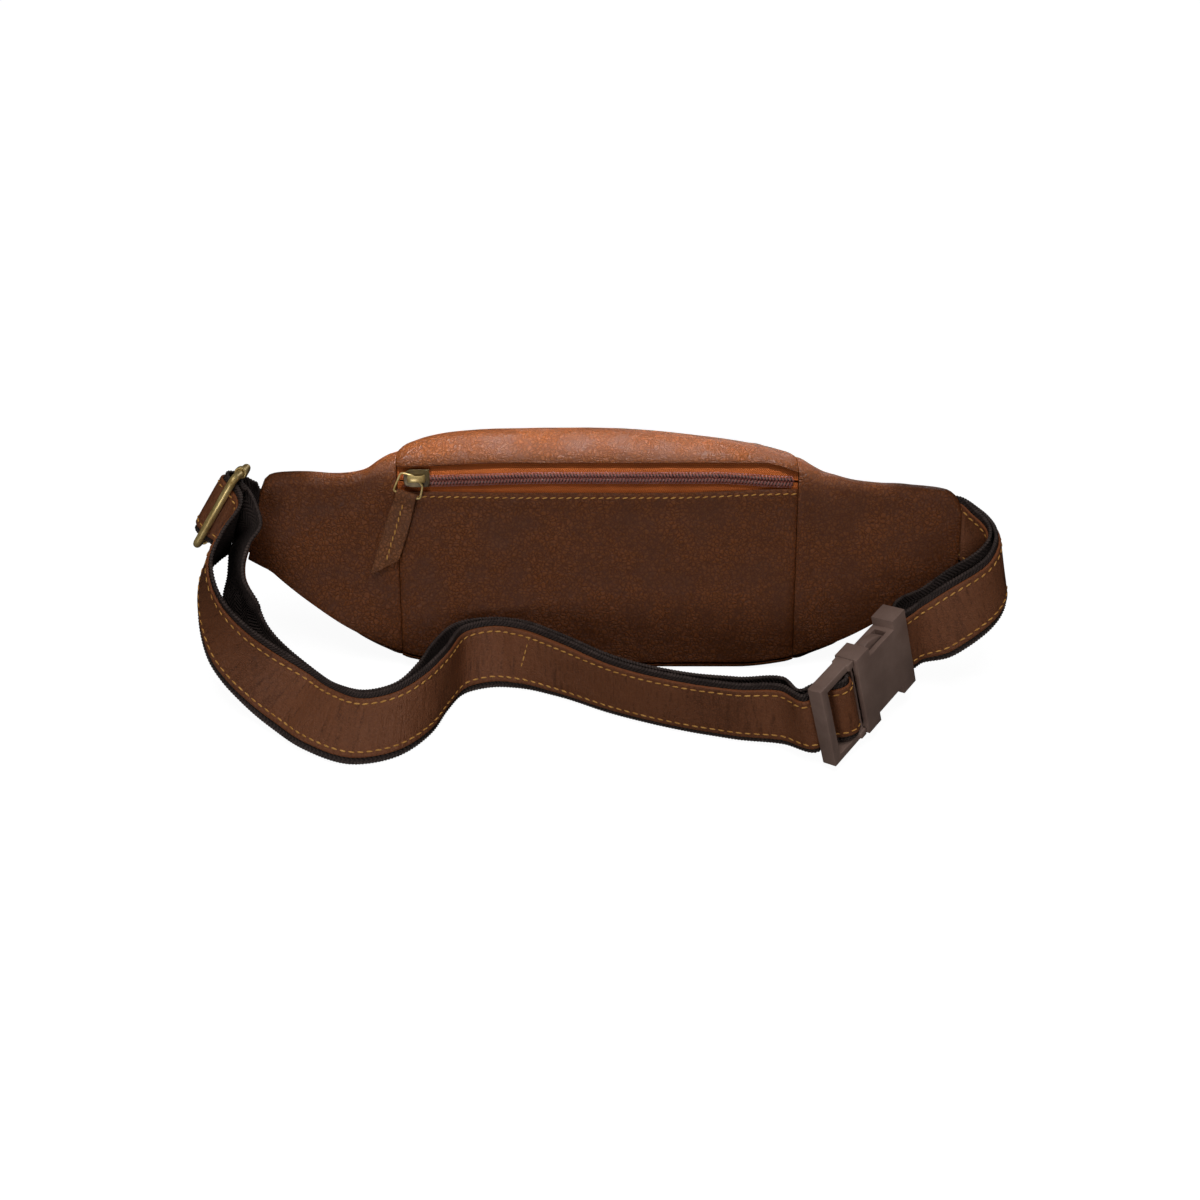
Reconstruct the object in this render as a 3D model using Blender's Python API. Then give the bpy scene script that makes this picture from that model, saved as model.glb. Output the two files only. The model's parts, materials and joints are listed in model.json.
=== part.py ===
"""Leather waist pack with a rear zip pocket, a doubled belt strap and a side-release buckle.

Sizes are millimetres. X runs along the zips, Y from the wearer to the front, Z up.
Section points are given as (s, b): s up the leaning rear plane, b square to it into the pack.
"""
import math

import bmesh
import bpy
import numpy as np

MM = 0.001
BASE_CENTRE_Y = 42.5
REAR_LEAN = math.radians(25.0)

LEATHER = 1.6
LEFT_SEAM_X = -112.5
RIGHT_SEAM_X = 107.6
SEAM_GAP = 0.2
LEFT_TIP_X = -188.0
RIGHT_TIP_X = 197.5
LEFT_TIP_SLANT = 8.5
BASE_FLAT_X = 76.0
RIDGE_S = 134.1
YOKE_BEND_S = 118.5

ZIP_S = 109.0
POCKET_TOP_S = 100.8
YOKE_LOW_S = 117.2
REAR_ZIP_X = (-108.0, 103.0)
TAPE_IN = (1.9, 2.5)
COIL_IN = (0.0, 1.6)
COIL_SPAN = (0.45, 3.0)
REAR_SLIDER_X = -101.0
MAIN_ZIP_X = (-84.0, 84.0)
MAIN_SLIDER_X = -76.0

WEBBING_WIDTH = 38.0
WEBBING_HALF = 0.7
STRIP_WIDTH = 31.0
STRIP_SPAN = (1.0, 2.2)
FLOOR_GAP = 0.4

BUCKLE_ORIGIN = (111.2, -76.8, 27.6)
BUCKLE_TURN = math.radians(50.3)
BUCKLE_PITCH = math.radians(5.5)
BUCKLE_ROLL = math.radians(14.4)
PLUG_BAR_L = 20.0
SOCKET_BAR_L = 72.0
PRONG_HINGE = (29.2, 12.5)

ADJUSTER_CENTRE = (-206.8, 34.2, 88.7)
ADJUSTER_BAR_DIR = (0.548, 0.218, 0.808)
ADJUSTER_RUN_DIR = (0.045, 0.956, -0.289)
ADJUSTER_PITCH = 13.2
ADJUSTER_HALF = 22.5
ADJUSTER_WIRE = 2.1

# Rear, ridge, front and base of the middle section, from the rear lower edge round.
SECTION_S = (3.5, 118.5, 133.5, 134.1, 122.4, 110.7, 99.0, 70.2, 46.2, 33.4, 2.5)
SECTION_B = (0.0, 0.0, 8.35, 21.3, 40.0, 50.45, 60.9, 74.8, 77.8, 71.6, 5.4)
# The same points on a wing tip: shares of its height, and depth in millimetres.
TIP_SHARE = (0.02, 0.88, 0.985, 1.0, 0.96, 0.88, 0.74, 0.5, 0.26, 0.07, 0.01)
TIP_B = (0.0, 0.0, 3.0, 7.6, 10.2, 11.0, 11.2, 11.2, 10.9, 9.2, 3.0)
# Height s of the top edge along x.
RIDGE_LINE = (
    (-190.0, 107.0), (-185.0, 109.3), (-178.0, 111.2), (-167.0, 111.8), (-146.0, 111.0), (-133.0, 112.5),
    (-125.0, 115.6), (-114.0, 121.5), (-106.0, 126.0), (-97.0, 129.2), (-83.0, 131.8), (-60.0, 133.4),
    (-20.0, 134.1), (10.0, 133.6), (32.0, 132.2), (61.0, 129.0), (79.0, 126.2), (94.0, 123.2),
    (105.0, 119.6), (118.0, 113.4), (131.0, 109.2), (151.0, 106.2), (169.0, 104.6), (182.0, 103.2),
    (193.0, 101.0), (198.0, 100.2), (201.0, 99.6),
)
# Main lining in (y, z), from below the main zip round the front, base and rear to above it.
LINING = 0.6
LINING_LINE = (
    (88.8, 68.0), (90.4, 50.0), (90.2, 33.0), (84.0, 13.0), (73.0, 6.2), (45.0, 5.6), (17.0, 6.2),
    (12.0, 11.6), (14.6, 17.2), (30.0, 50.4), (47.0, 86.8), (50.0, 93.0), (55.5, 97.6), (62.0, 98.4),
    (70.0, 96.6), (78.0, 91.6), (83.4, 86.0),
)

# Long strap, outer strand: lower edge point, width direction, distance to the inner strand.
LONG_ROUTE = (
    (-205.0, 22.3, 67.4, 0.38, -0.13, 0.92, 10.5),
    (-208.9, 17.9, 64.4, 0.30, -0.46, 0.83, 14.0),
    (-215.4, 11.0, 60.4, 0.35, -0.61, 0.71, 17.0),
    (-217.9, 2.5, 52.9, 0.47, -0.62, 0.63, 18.0),
    (-217.8, -6.4, 44.1, 0.60, -0.51, 0.61, 17.0),
    (-215.6, -15.6, 35.2, 0.71, -0.32, 0.62, 14.0),
    (-211.0, -24.7, 26.8, 0.76, -0.09, 0.64, 11.0),
    (-203.7, -31.8, 18.7, 0.74, 0.11, 0.66, 8.5),
    (-194.9, -38.0, 11.7, 0.69, 0.28, 0.66, 6.5),
    (-176.3, -52.0, 4.9, 0.57, 0.59, 0.57, 4.0),
    (-156.5, -66.5, 3.0, 0.40, 0.67, 0.62, 2.9),
    (-128.0, -75.5, 0.6, 0.15, 0.66, 0.73, 2.4),
    (-107.0, -69.5, 0.6, 0.02, 0.62, 0.78, 2.6),
    (-92.0, -53.0, 0.6, -0.02, 0.45, 0.89, 5.5),
    (-84.5, -34.0, 0.6, 0.03, 0.30, 0.95, 8.0),
    (-76.0, -20.5, 0.6, 0.0, 0.50, 0.87, 5.0),
    (-62.0, -15.5, 0.6, 0.0, 0.52, 0.85, 2.6),
    (-45.0, -16.0, 0.6, 0.0, 0.40, 0.92, 2.4),
    (-24.0, -22.5, 0.6, 0.0, 0.20, 0.98, 2.4),
    (6.0, -36.5, 0.6, 0.0, 0.02, 1.0, 2.6),
    (40.0, -48.5, 0.6, 0.0, 0.0, 1.0, 3.0),
    (72.0, -56.5, 0.6, -0.05, 0.05, 1.0, 5.0),
    (96.0, -63.5, 4.0, -0.12, 0.13, 0.98, 6.5),
)
# Short strap, outer strand, from the wing tip to the socket.
SHORT_ROUTE = (
    (207.4, 29.2, 48.8, -0.06, 0.21, 0.98, 2.2),
    (213.5, 25.2, 48.1, -0.12, 0.11, 0.99, 2.3),
    (218.2, 19.2, 47.7, -0.19, 0.05, 0.98, 2.5),
    (220.4, 11.8, 46.8, -0.26, 0.03, 0.96, 3.6),
    (219.9, 3.6, 45.0, -0.33, 0.06, 0.94, 6.0),
    (216.3, -3.8, 42.3, -0.37, 0.11, 0.92, 9.0),
    (210.8, -10.0, 39.2, -0.41, 0.20, 0.89, 12.0),
    (204.0, -14.7, 35.6, -0.43, 0.29, 0.85, 14.5),
    (196.7, -17.5, 31.0, -0.43, 0.34, 0.84, 15.5),
    (188.9, -18.8, 25.9, -0.39, 0.33, 0.86, 14.0),
)
# Long strap through the adjuster: distance along its run, distance out of its plane,
# and how far its width has turned towards the first row of the route.
WEAVE_OUTER = (
    (7.8, -7.5, 0.0), (7.2, -2.5, 0.0), (5.7, 2.5, 0.0), (3.1, 5.0, 0.0), (0.0, 5.9, 0.0), (-3.1, 5.0, 0.0),
    (-6.2, 1.7, 0.0), (-8.8, -2.9, 0.1),
)
INNER_TOP = (
    (-193.9, -6.3, 55.4, 0.675, -0.616, 0.407),
    (-197.0, 3.6, 63.1, 0.460, -0.726, 0.511),
    (-197.4, 9.7, 67.7, 0.445, -0.712, 0.543),
    (-195.8, 17.1, 74.0, 0.514, -0.633, 0.579),
    (-192.1, 25.4, 79.6, 0.572, -0.545, 0.612),
)
WEAVE_INNER = ((-3.2, -12.8, 0.6), (-2.2, -7.2, 0.2))
WEAVE_END = ((-3.0, -0.4, 0.0), (-4.0, -2.8, 0.08), (-4.8, -5.3, 0.18), (-5.5, -8.0, 0.3))
# Long strap between the left wing and the adjuster: centre and width direction.
LEFT_EXIT = (-195.2, 40.3, 77.5, 0.30, 0.38, 0.87)
# Long strap through the plug: along the buckle, out of its face.
PLUG_IN = ((1.5, -6.9), (8.0, -6.2), (12.4, -2.8), (15.0, 1.4))
PLUG_OUT = ((15.6, -5.4), (11.4, -7.7), (7.4, -9.6), (4.4, -10.9))
SOCKET_IN = ((86.0, -5.4), (81.0, -3.7), (77.0, -2.65))
SOCKET_OUT = ((77.0, 2.65), (81.0, 3.7), (86.0, 5.0))

RING_CORNERS = ((-8.4, 3.5), (-2.2, 1.9), (3.3, -3.6), (1.55, -11.25), (-12.9, -6.45))
RING_ROUND = 1.4
RING_WIRE = 0.6
RING_HEIGHT = 3.3
TAB_WIDTH = 13.0
TAB_FOLD = 11.0
TAB_LENGTHS = (37.0, 41.0, 45.0, 49.0)
TAB_SPAN = (-2.0, 0.3)


def vec(*values):
    """Return an array of floats."""
    return np.array(values, float)


def unit(v):
    """Return v scaled to length one."""
    return v / np.linalg.norm(v)


def smooth(t):
    """Return a smooth step of t between 0 and 1."""
    t = min(max(t, 0.0), 1.0)
    return t * t * (3.0 - 2.0 * t)


def spline(points, steps):
    """Return a smooth curve through the rows of points."""
    pts = [np.asarray(p, float) for p in points]
    pts = [2.0 * pts[0] - pts[1]] + pts + [2.0 * pts[-1] - pts[-2]]
    out = []
    for i in range(1, len(pts) - 2):
        for k in range(steps):
            out.append(spline_point(pts[i - 1], pts[i], pts[i + 1], pts[i + 2], k / steps))
    out.append(pts[-2])
    return out


def spline_point(p0, p1, p2, p3, t):
    """Return the point at share t between p1 and p2; uneven steps don't swing out."""
    d0 = max(np.linalg.norm(p1 - p0), 1e-6)
    d1 = max(np.linalg.norm(p2 - p1), 1e-6)
    d2 = max(np.linalg.norm(p3 - p2), 1e-6)
    start = ((p1 - p0) / d0 * d1 + (p2 - p1) / d1 * d0) / (d0 + d1) * d1
    end = ((p2 - p1) / d1 * d2 + (p3 - p2) / d2 * d1) / (d1 + d2) * d1
    h1 = 2.0 * t ** 3 - 3.0 * t ** 2 + 1.0
    h2 = t ** 3 - 2.0 * t ** 2 + t
    h3 = -2.0 * t ** 3 + 3.0 * t ** 2
    h4 = t ** 3 - t ** 2
    return h1 * p1 + h2 * start + h3 * p2 + h4 * end


def rear_point(x, s, b):
    """Return the point at height s up the rear plane and depth b behind it."""
    y = s * math.sin(REAR_LEAN) + b * math.cos(REAR_LEAN)
    z = s * math.cos(REAR_LEAN) - b * math.sin(REAR_LEAN)
    return vec(x, y, z)


def bottom_s(x):
    """Return the height of the lower edge at x."""
    tip, far = (66.0, 194.0) if x < 0 else (61.0, 199.0)
    reach = min(abs(x), 184.0)
    curve = tip * max(0.0, (reach - BASE_FLAT_X) / (far - BASE_FLAT_X)) ** 1.9
    return curve + (0.55 if x < 0 else 0.5) * (abs(x) - reach)


def ridge_s(x):
    """Return the height of the top edge at x."""
    rows = RIDGE_LINE
    x = max(x, LEFT_TIP_X)
    i = 1
    while i < len(rows) - 2 and rows[i + 1][0] < x:
        i += 1
    i = min(max(i, 1), len(rows) - 3)
    x0, x1 = rows[i][0], rows[i + 1][0]
    slope0 = (rows[i + 1][1] - rows[i - 1][1]) / (x1 - rows[i - 1][0])
    slope1 = (rows[i + 2][1] - rows[i][1]) / (rows[i + 2][0] - x0)
    t = (x - x0) / (x1 - x0)
    h2 = t ** 3 - 2.0 * t ** 2 + t
    h4 = t ** 3 - t ** 2
    mix = smooth(t) if 0.0 <= t <= 1.0 else t
    return rows[i][1] + (rows[i + 1][1] - rows[i][1]) * mix + (h2 * slope0 + h4 * slope1) * (x1 - x0)


def control_points(x):
    """Return the section's control points at x as rows of (s, b)."""
    low = bottom_s(x)
    top = ridge_s(x)
    depth = 1.0 - 0.86 * smooth((abs(x) - 95.0) / 62.0)
    to_tip = smooth((abs(x) - 112.0) / 50.0)
    front = RIDGE_S + (top - RIDGE_S) * smooth((abs(x) - 86.0) / 22.0)
    rows = []
    for i, (s, b) in enumerate(zip(SECTION_S, SECTION_B)):
        height = (top if i in (2, 3) else front) - low
        body_s = low + s * height / RIDGE_S
        tip_s = low + TIP_SHARE[i] * (top - low)
        row_s = body_s + (tip_s - body_s) * to_tip
        row_b = b * depth + (TIP_B[i] - b * depth) * to_tip
        rows.append(vec(row_s, row_b))
    rows[1][0] = min(YOKE_BEND_S, top - 6.0)
    return rows


def section_point(x, v):
    """Return the shell's (s, b) at x; whole values of v are control points."""
    rows = control_points(x)
    if v <= 1.0:
        return rows[0] + (rows[1] - rows[0]) * v
    if v < 9.0:
        i = min(int(v), 8)
        before = rows[i - 1]
        if i == 1:
            before = rows[1] + (rows[0] - rows[1]) * 0.13
        after = rows[i + 2]
        if i == 8:
            after = rows[9] + (rows[10] - rows[9]) * 0.25
        return spline_point(before, rows[i], rows[i + 1], after, v - i)
    if v <= 10.0:
        return rows[9] + (rows[10] - rows[9]) * (v - 9.0)
    corner = vec(2.0 * rows[10][0] - rows[0][0], 0.0)
    corner[0] = min(rows[0][0], rows[10][0]) - 2.0
    t = v - 10.0
    return (1 - t) ** 2 * rows[10] + 2 * t * (1 - t) * corner + t * t * rows[0]


def tip_slant(x, v):
    """Return how far the lower part of the left wing's end leans out at x and section position v."""
    lower = 1.0 - v if v < 2.0 else smooth((v - 3.0) / 6.0)
    return LEFT_TIP_SLANT * max(0.0, lower) * smooth((-150.0 - x) / 38.0)


def shell_point(x, v):
    """Return the shell's outer surface at x and section position v."""
    x = x - tip_slant(x, v)
    s, b = section_point(x, v)
    point = rear_point(x, s, b)
    point[2] = max(point[2], 0.0)
    return point


def shell_normal(x, v):
    """Return the outward direction of the section at x and v."""
    step = shell_point(x, v + 0.02) - shell_point(x, v - 0.02)
    return unit(vec(0.0, -step[2], step[1]))


def rear_v(x, s):
    """Return the section position of height s on the rear plane."""
    rows = control_points(x)
    return (s - rows[0][0]) / (rows[1][0] - rows[0][0])


def make_material(name, colour, roughness, metallic):
    """Return a plain material."""
    material = bpy.data.materials.new(name)
    material.use_nodes = True
    shader = material.node_tree.nodes["Principled BSDF"]
    shader.inputs["Base Color"].default_value = (*colour, 1.0)
    shader.inputs["Roughness"].default_value = roughness
    shader.inputs["Metallic"].default_value = metallic
    return material


FINISHES = {
    "leather": ((0.155, 0.065, 0.028), 0.5, 0.0),
    "strip": ((0.11, 0.05, 0.025), 0.55, 0.0),
    "webbing": ((0.035, 0.028, 0.026), 0.8, 0.0),
    "tape": ((0.27, 0.095, 0.03), 0.75, 0.0),
    "coil": ((0.09, 0.035, 0.026), 0.45, 0.0),
    "lining": ((0.09, 0.07, 0.055), 0.8, 0.0),
    "brass": ((0.42, 0.30, 0.11), 0.35, 1.0),
    "buckle": ((0.125, 0.09, 0.075), 0.5, 0.0),
}


def add_object(name, verts, faces, finish, origin=(0.0, 0.0, 0.0), merge=False):
    """Add one named solid under the pack's root empty.

    Args:
        name: node name.
        verts: points in millimetres.
        faces: vertex index lists, facing out.
        finish: key of FINISHES.
        origin: point in millimetres that the object turns about.
        merge: join flat neighbouring faces.
    Returns:
        The new object.
    """
    pivot = np.asarray(origin, float)
    mesh = bpy.data.meshes.new(name)
    mesh.from_pydata([tuple((np.asarray(p, float) - pivot) * MM) for p in verts], [], faces)
    mesh.update()
    obj = bpy.data.objects.new(name, mesh)
    obj.location = tuple(pivot * MM)
    obj.parent = ROOT
    mesh.materials.append(make_material(name, *FINISHES[finish]))
    bpy.context.scene.collection.objects.link(obj)
    work = bmesh.new()
    work.from_mesh(mesh)
    if merge:
        bmesh.ops.dissolve_limit(work, angle_limit=0.001, verts=work.verts, edges=work.edges)
    bmesh.ops.recalc_face_normals(work, faces=work.faces)
    work.to_mesh(mesh)
    work.free()
    return obj


def sheet_solid(outer, inner):
    """Return verts and faces of a closed sheet between two equal grids of points."""
    rows = len(outer)
    cols = len(outer[0])
    verts = [p for row in outer for p in row] + [p for row in inner for p in row]
    base = rows * cols
    faces = []
    for i in range(rows - 1):
        for j in range(cols - 1):
            a = i * cols + j
            c = a + cols + 1
            faces.append((a, a + cols, c))
            faces.append((a, c, a + 1))
            faces.append((base + a, base + c, base + a + cols))
            faces.append((base + a, base + a + 1, base + c))
    rim = [j for j in range(cols)]
    rim += [i * cols + cols - 1 for i in range(1, rows)]
    rim += [(rows - 1) * cols + j for j in range(cols - 2, -1, -1)]
    rim += [i * cols for i in range(rows - 2, 0, -1)]
    for k, a in enumerate(rim):
        b = rim[(k + 1) % len(rim)]
        faces.append((a, b, base + b, base + a))
    return verts, faces


def shell_panel(name, stations, start, end, rows, finish="leather", depth=(0.0, LEATHER)):
    """Add a panel of the shell between two section positions that depend on x."""
    outer = []
    inner = []
    for x in stations:
        line_out = []
        line_in = []
        for k in range(rows + 1):
            v = start(x) + (end(x) - start(x)) * k / rows
            point = shell_point(x, v)
            normal = shell_normal(x, v)
            line_out.append(point - normal * depth[0])
            line_in.append(point - normal * depth[1])
        outer.append(line_out)
        inner.append(line_in)
    verts, faces = sheet_solid(outer, inner)
    return add_object(name, verts, faces, finish)


def ring_solid(rings, closed=False):
    """Return verts and faces of a tube through equal rings of points."""
    count = len(rings[0])
    verts = [p for ring in rings for p in ring]
    faces = []
    last = len(rings) if closed else len(rings) - 1
    for i in range(last):
        a = i * count
        b = ((i + 1) % len(rings)) * count
        for j in range(count):
            k = (j + 1) % count
            faces.append((a + j, a + k, b + k, b + j))
    if not closed:
        faces.append(tuple(range(count - 1, -1, -1)))
        end = (len(rings) - 1) * count
        faces.append(tuple(range(end, end + count)))
    return verts, faces


def rod(path, radius, sides=8, closed=False, side_dir=(0.0, 0.0, 1.0)):
    """Return verts and faces of a round rod along a path."""
    pts = [np.asarray(p, float) for p in path]
    rings = []
    for i, point in enumerate(pts):
        before = pts[i - 1] if closed or i > 0 else point
        after = pts[(i + 1) % len(pts)] if closed or i < len(pts) - 1 else point
        along = unit(after - before)
        across = unit(np.cross(along, side_dir))
        other = np.cross(along, across)
        ring = []
        for k in range(sides):
            angle = 2.0 * math.pi * (k + 0.5) / sides
            ring.append(point + radius * (math.cos(angle) * across + math.sin(angle) * other))
        rings.append(ring)
    return ring_solid(rings, closed)


def box_union(boxes, holes=()):
    """Return verts and faces of a union of boxes, less the holes.

    Args:
        boxes: rows of (x0, x1, y0, y1, z0, z1).
        holes: boxes that are left empty.
    """
    cuts = []
    for axis in range(3):
        marks = set()
        for box in list(boxes) + list(holes):
            marks.add(box[2 * axis])
            marks.add(box[2 * axis + 1])
        cuts.append(sorted(marks))

    def inside(cell, group):
        middle = [(cuts[a][cell[a]] + cuts[a][cell[a] + 1]) / 2 for a in range(3)]
        for box in group:
            if all(box[2 * a] < middle[a] < box[2 * a + 1] for a in range(3)):
                return True
        return False

    filled = set()
    for i in range(len(cuts[0]) - 1):
        for j in range(len(cuts[1]) - 1):
            for k in range(len(cuts[2]) - 1):
                if inside((i, j, k), boxes) and not inside((i, j, k), holes):
                    filled.add((i, j, k))
    index = {}
    verts = []
    faces = []

    def vertex(i, j, k):
        if (i, j, k) not in index:
            index[(i, j, k)] = len(verts)
            verts.append(vec(cuts[0][i], cuts[1][j], cuts[2][k]))
        return index[(i, j, k)]

    for cell in sorted(filled):
        for axis in range(3):
            for side in (0, 1):
                step = [0, 0, 0]
                step[axis] = 1 if side else -1
                if tuple(c + d for c, d in zip(cell, step)) in filled:
                    continue
                u = (axis + 1) % 3
                w = (axis + 2) % 3
                corner = [0, 0, 0]
                corner[axis] = side
                quad = []
                for du, dw in ((0, 0), (1, 0), (1, 1), (0, 1)):
                    corner[u] = du
                    corner[w] = dw
                    quad.append(vertex(*(c + d for c, d in zip(cell, corner))))
                faces.append(tuple(quad) if side else tuple(reversed(quad)))
    return verts, faces


def prism(outline, low, high):
    """Return verts and faces of an outline in x and y, between two z heights."""
    count = len(outline)
    verts = [vec(x, y, low) for x, y in outline] + [vec(x, y, high) for x, y in outline]
    faces = [tuple(range(count - 1, -1, -1)), tuple(range(count, 2 * count))]
    for i in range(count):
        j = (i + 1) % count
        faces.append((i, j, count + j, count + i))
    return verts, faces


class Frame:
    """A local frame: origin and three directions, the third turned over when flip is set."""

    def __init__(self, origin, ex, ey, flip=False):
        self.origin = np.asarray(origin, float)
        self.ex = unit(np.asarray(ex, float))
        self.ez = unit(np.cross(self.ex, np.asarray(ey, float)))
        self.ey = np.cross(self.ez, self.ex)
        if flip:
            self.ez = -self.ez

    def out(self, p):
        """Return a local point in pack coordinates."""
        return self.origin + p[0] * self.ex + p[1] * self.ey + p[2] * self.ez

    def all(self, verts):
        """Return local points in pack coordinates."""
        return [self.out(p) for p in verts]


MAIN_ZIP_V = (4.46, 5.54)
MAIN_ZIP_END = 86.5


def yoke_low(x):
    """Return the height of the yoke's lower edge."""
    return min(YOKE_LOW_S, control_points(x)[1][0] - 0.8)


def top_panel_end(x):
    """Return the top panel's front edge: the zip within its length, a seam beyond."""
    return MAIN_ZIP_V[0] if abs(x) <= MAIN_ZIP_END else 4.98


def front_start(x):
    """Return the front panel's top edge."""
    return MAIN_ZIP_V[1] if abs(x) <= MAIN_ZIP_END else 5.01


def wing_front_end(x):
    """Return where a wing's front panel meets its rear panel below."""
    seam = -LEFT_SEAM_X if x < 0 else RIGHT_SEAM_X
    return 9.95 + 0.35 * (1.0 - smooth((abs(x) - seam) / 30.0))


def build_shell():
    """Add the leather panels."""
    first = LEFT_SEAM_X + SEAM_GAP
    last = RIGHT_SEAM_X - SEAM_GAP
    middle = [first, -105, -98, -92, -87.5, -86, -60, -30, 0, 30, 60, 74, 86, 87.5, 92, 98, last]
    left = [LEFT_TIP_X, -184, -178, -170, -162, -153, -144, -135, -127, -120, LEFT_SEAM_X - SEAM_GAP]
    right = [RIGHT_SEAM_X + SEAM_GAP, 114, 121, 129, 138, 147, 157, 167, 177, 188, RIGHT_TIP_X]
    flat = [first, -102, -94, -86, -76, -40, 0, 40, 76, 84, 92, 100, last]
    shell_panel("rear_pocket_panel", flat, lambda x: 0.006, lambda x: rear_v(x, POCKET_TOP_S), 3)
    shell_panel("rear_yoke", middle, lambda x: rear_v(x, yoke_low(x)), lambda x: 3.0, 8)
    shell_panel("top_panel", middle, lambda x: 3.02, top_panel_end, 4)
    shell_panel("front_panel", middle, front_start, lambda x: 9.2, 11)
    shell_panel("base_panel", flat, lambda x: 9.22, lambda x: 10.96, 5)
    for name, stations in (("left", left), ("right", right)):
        shell_panel(name + "_wing_rear", stations, lambda x: 0.008, lambda x: 2.3, 8)
        shell_panel(name + "_wing_front", stations, lambda x: 2.4, wing_front_end, 15)


def build_linings():
    """Add the two fabric linings."""
    line = spline([vec(*p) for p in LINING_LINE], 3)
    outside = []
    inside = []
    for k, point in enumerate(line):
        step = line[min(k + 1, len(line) - 1)] - line[max(k - 1, 0)]
        normal = unit(vec(step[1], -step[0]))
        outside.append(point)
        inside.append(point + normal * LINING)
    profile = outside + inside[::-1]
    rings = [[vec(x, y, z) for y, z in profile] for x in (-90.0, 90.0)]
    verts, faces = ring_solid(rings)
    add_object("main_lining", verts, faces, "lining")
    front = 95.0
    profile = (
        (front, 2.2), (7.5, 2.2), (7.5, 4.9), (116.5, 4.9), (116.5, 4.4), (8.0, 4.4), (8.0, 2.7),
        (front, 2.7))
    rings = [[rear_point(x, s, b) for s, b in profile] for x in (-98.0, 98.0)]
    verts, faces = ring_solid(rings)
    add_object("rear_pocket_lining", verts, faces, "lining")


def rear_zip_frame():
    """Return the rear zip's frame: along the zip, up the panel, out of the panel."""
    up = rear_point(0.0, 1.0, 0.0)
    return Frame(rear_point(0.0, ZIP_S, 0.0), (1.0, 0.0, 0.0), up)


def main_zip_frame():
    """Return the main zip's frame on the front, seen from the front."""
    top = shell_point(0.0, 4.0)
    low = shell_point(0.0, 6.0)
    return Frame((top + low) / 2.0, (-1.0, 0.0, 0.0), top - low)


def build_zip(label, frame, span, reach_low, reach_high, slider_x):
    """Add one zip with its slider and pull.

    Args:
        label: first word of the node names.
        frame: the zip's frame.
        span: start and end of the chain.
        reach_low: reach of the lower tape below the chain's middle, by place along the zip.
        reach_high: the same for the upper tape.
        slider_x: slider's place along the zip.
    """
    inner, outer = COIL_SPAN
    places = np.linspace(span[0] - 3.0, span[1] + 3.0, 13)
    for side, sign, reach in (("upper", 1.0, reach_high), ("lower", -1.0, reach_low)):
        outline = [(places[0], sign * inner), (places[-1], sign * inner)]
        outline += [(x, sign * reach(x)) for x in reversed(places)]
        verts, faces = prism(outline, -TAPE_IN[1], -TAPE_IN[0])
        add_object(label + "_zip_tape_" + side, frame.all(verts), faces, "tape")
        low, high = sorted((sign * inner, sign * outer))
        verts, faces = box_union([(span[0], span[1], low, high, -COIL_IN[1], -COIL_IN[0])])
        add_object(label + "_zip_coil_" + side, frame.all(verts), faces, "coil")
    slider = Frame(frame.out((slider_x, 0.0, 0.0)), frame.ex, frame.ey)
    boxes = [
        (-6.5, 3.0, -4.6, 4.6, 0.35, 1.75), (3.0, 6.0, -3.2, 3.2, 0.35, 1.75),
        (-6.0, 3.0, -4.2, 4.2, -3.9, -2.8), (3.0, 5.5, -3.0, 3.0, -3.9, -2.8),
        (-5.0, 4.0, -0.2, 0.2, -2.8, 0.35),
        (-4.6, -3.2, -1.2, 1.2, 1.75, 4.4), (2.6, 4.0, -1.2, 1.2, 1.75, 4.4),
        (-4.6, 4.0, -1.2, 1.2, 4.4, 5.4)]
    verts, faces = box_union(boxes)
    add_object(label + "_zip_slider", slider.all(verts), faces, "brass", slider.origin, True)
    loop = [slider.out((*place, RING_HEIGHT)) for place in rounded_loop(RING_CORNERS, RING_ROUND)]
    verts, faces = rod(loop, RING_WIRE, 6, True, slider.ez)
    add_object(label + "_pull_ring", verts, faces, "brass", slider.out((-0.3, 0.0, RING_HEIGHT)))
    build_pull_tab(label, slider)


def rounded_loop(corners, radius):
    """Return a closed path round some corners, each cut back by the radius and curved."""
    out = []
    for i, corner in enumerate(corners):
        here = vec(*corner)
        before = unit(vec(*corners[i - 1]) - here) * radius
        after = unit(vec(*corners[(i + 1) % len(corners)]) - here) * radius
        for t in (0.0, 0.33, 0.67, 1.0):
            out.append(here + (1.0 - t) ** 2 * before + t * t * after)
    return out


def build_pull_tab(label, slider):
    """Add the leather tab that is folded over the lower side of the ring."""
    low_right, low_left = (vec(*corner) for corner in RING_CORNERS[3:5])
    hold = (low_right + low_left) / 2.0
    side = unit(low_right - low_left)
    down = vec(side[1], -side[0])
    origin = slider.out((*hold, RING_HEIGHT))
    along = slider.out((*(hold + down), RING_HEIGHT)) - origin
    tab = Frame(origin, along, np.cross(slider.ez, along))
    half = TAB_WIDTH / 2.0
    fold = TAB_FOLD / 2.0
    low, high = TAB_SPAN
    boxes = [
        (1.0, TAB_LENGTHS[0], -half, half, low, high), (-1.9, -1.0, -fold, fold, low, 1.7),
        (-1.0, 1.0, -fold, fold, low, -1.0), (-1.0, 1.0, -fold, fold, 1.0, 1.7), (1.0, 6.0, -fold, fold, high, 1.7)]
    for i in range(1, len(TAB_LENGTHS)):
        right = half - i * TAB_WIDTH / len(TAB_LENGTHS)
        boxes.append((TAB_LENGTHS[i - 1], TAB_LENGTHS[i], -half, right, low, high))
    verts, faces = box_union(boxes)
    add_object(label + "_pull_tab", tab.all(verts), faces, "leather", tab.origin, True)


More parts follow.
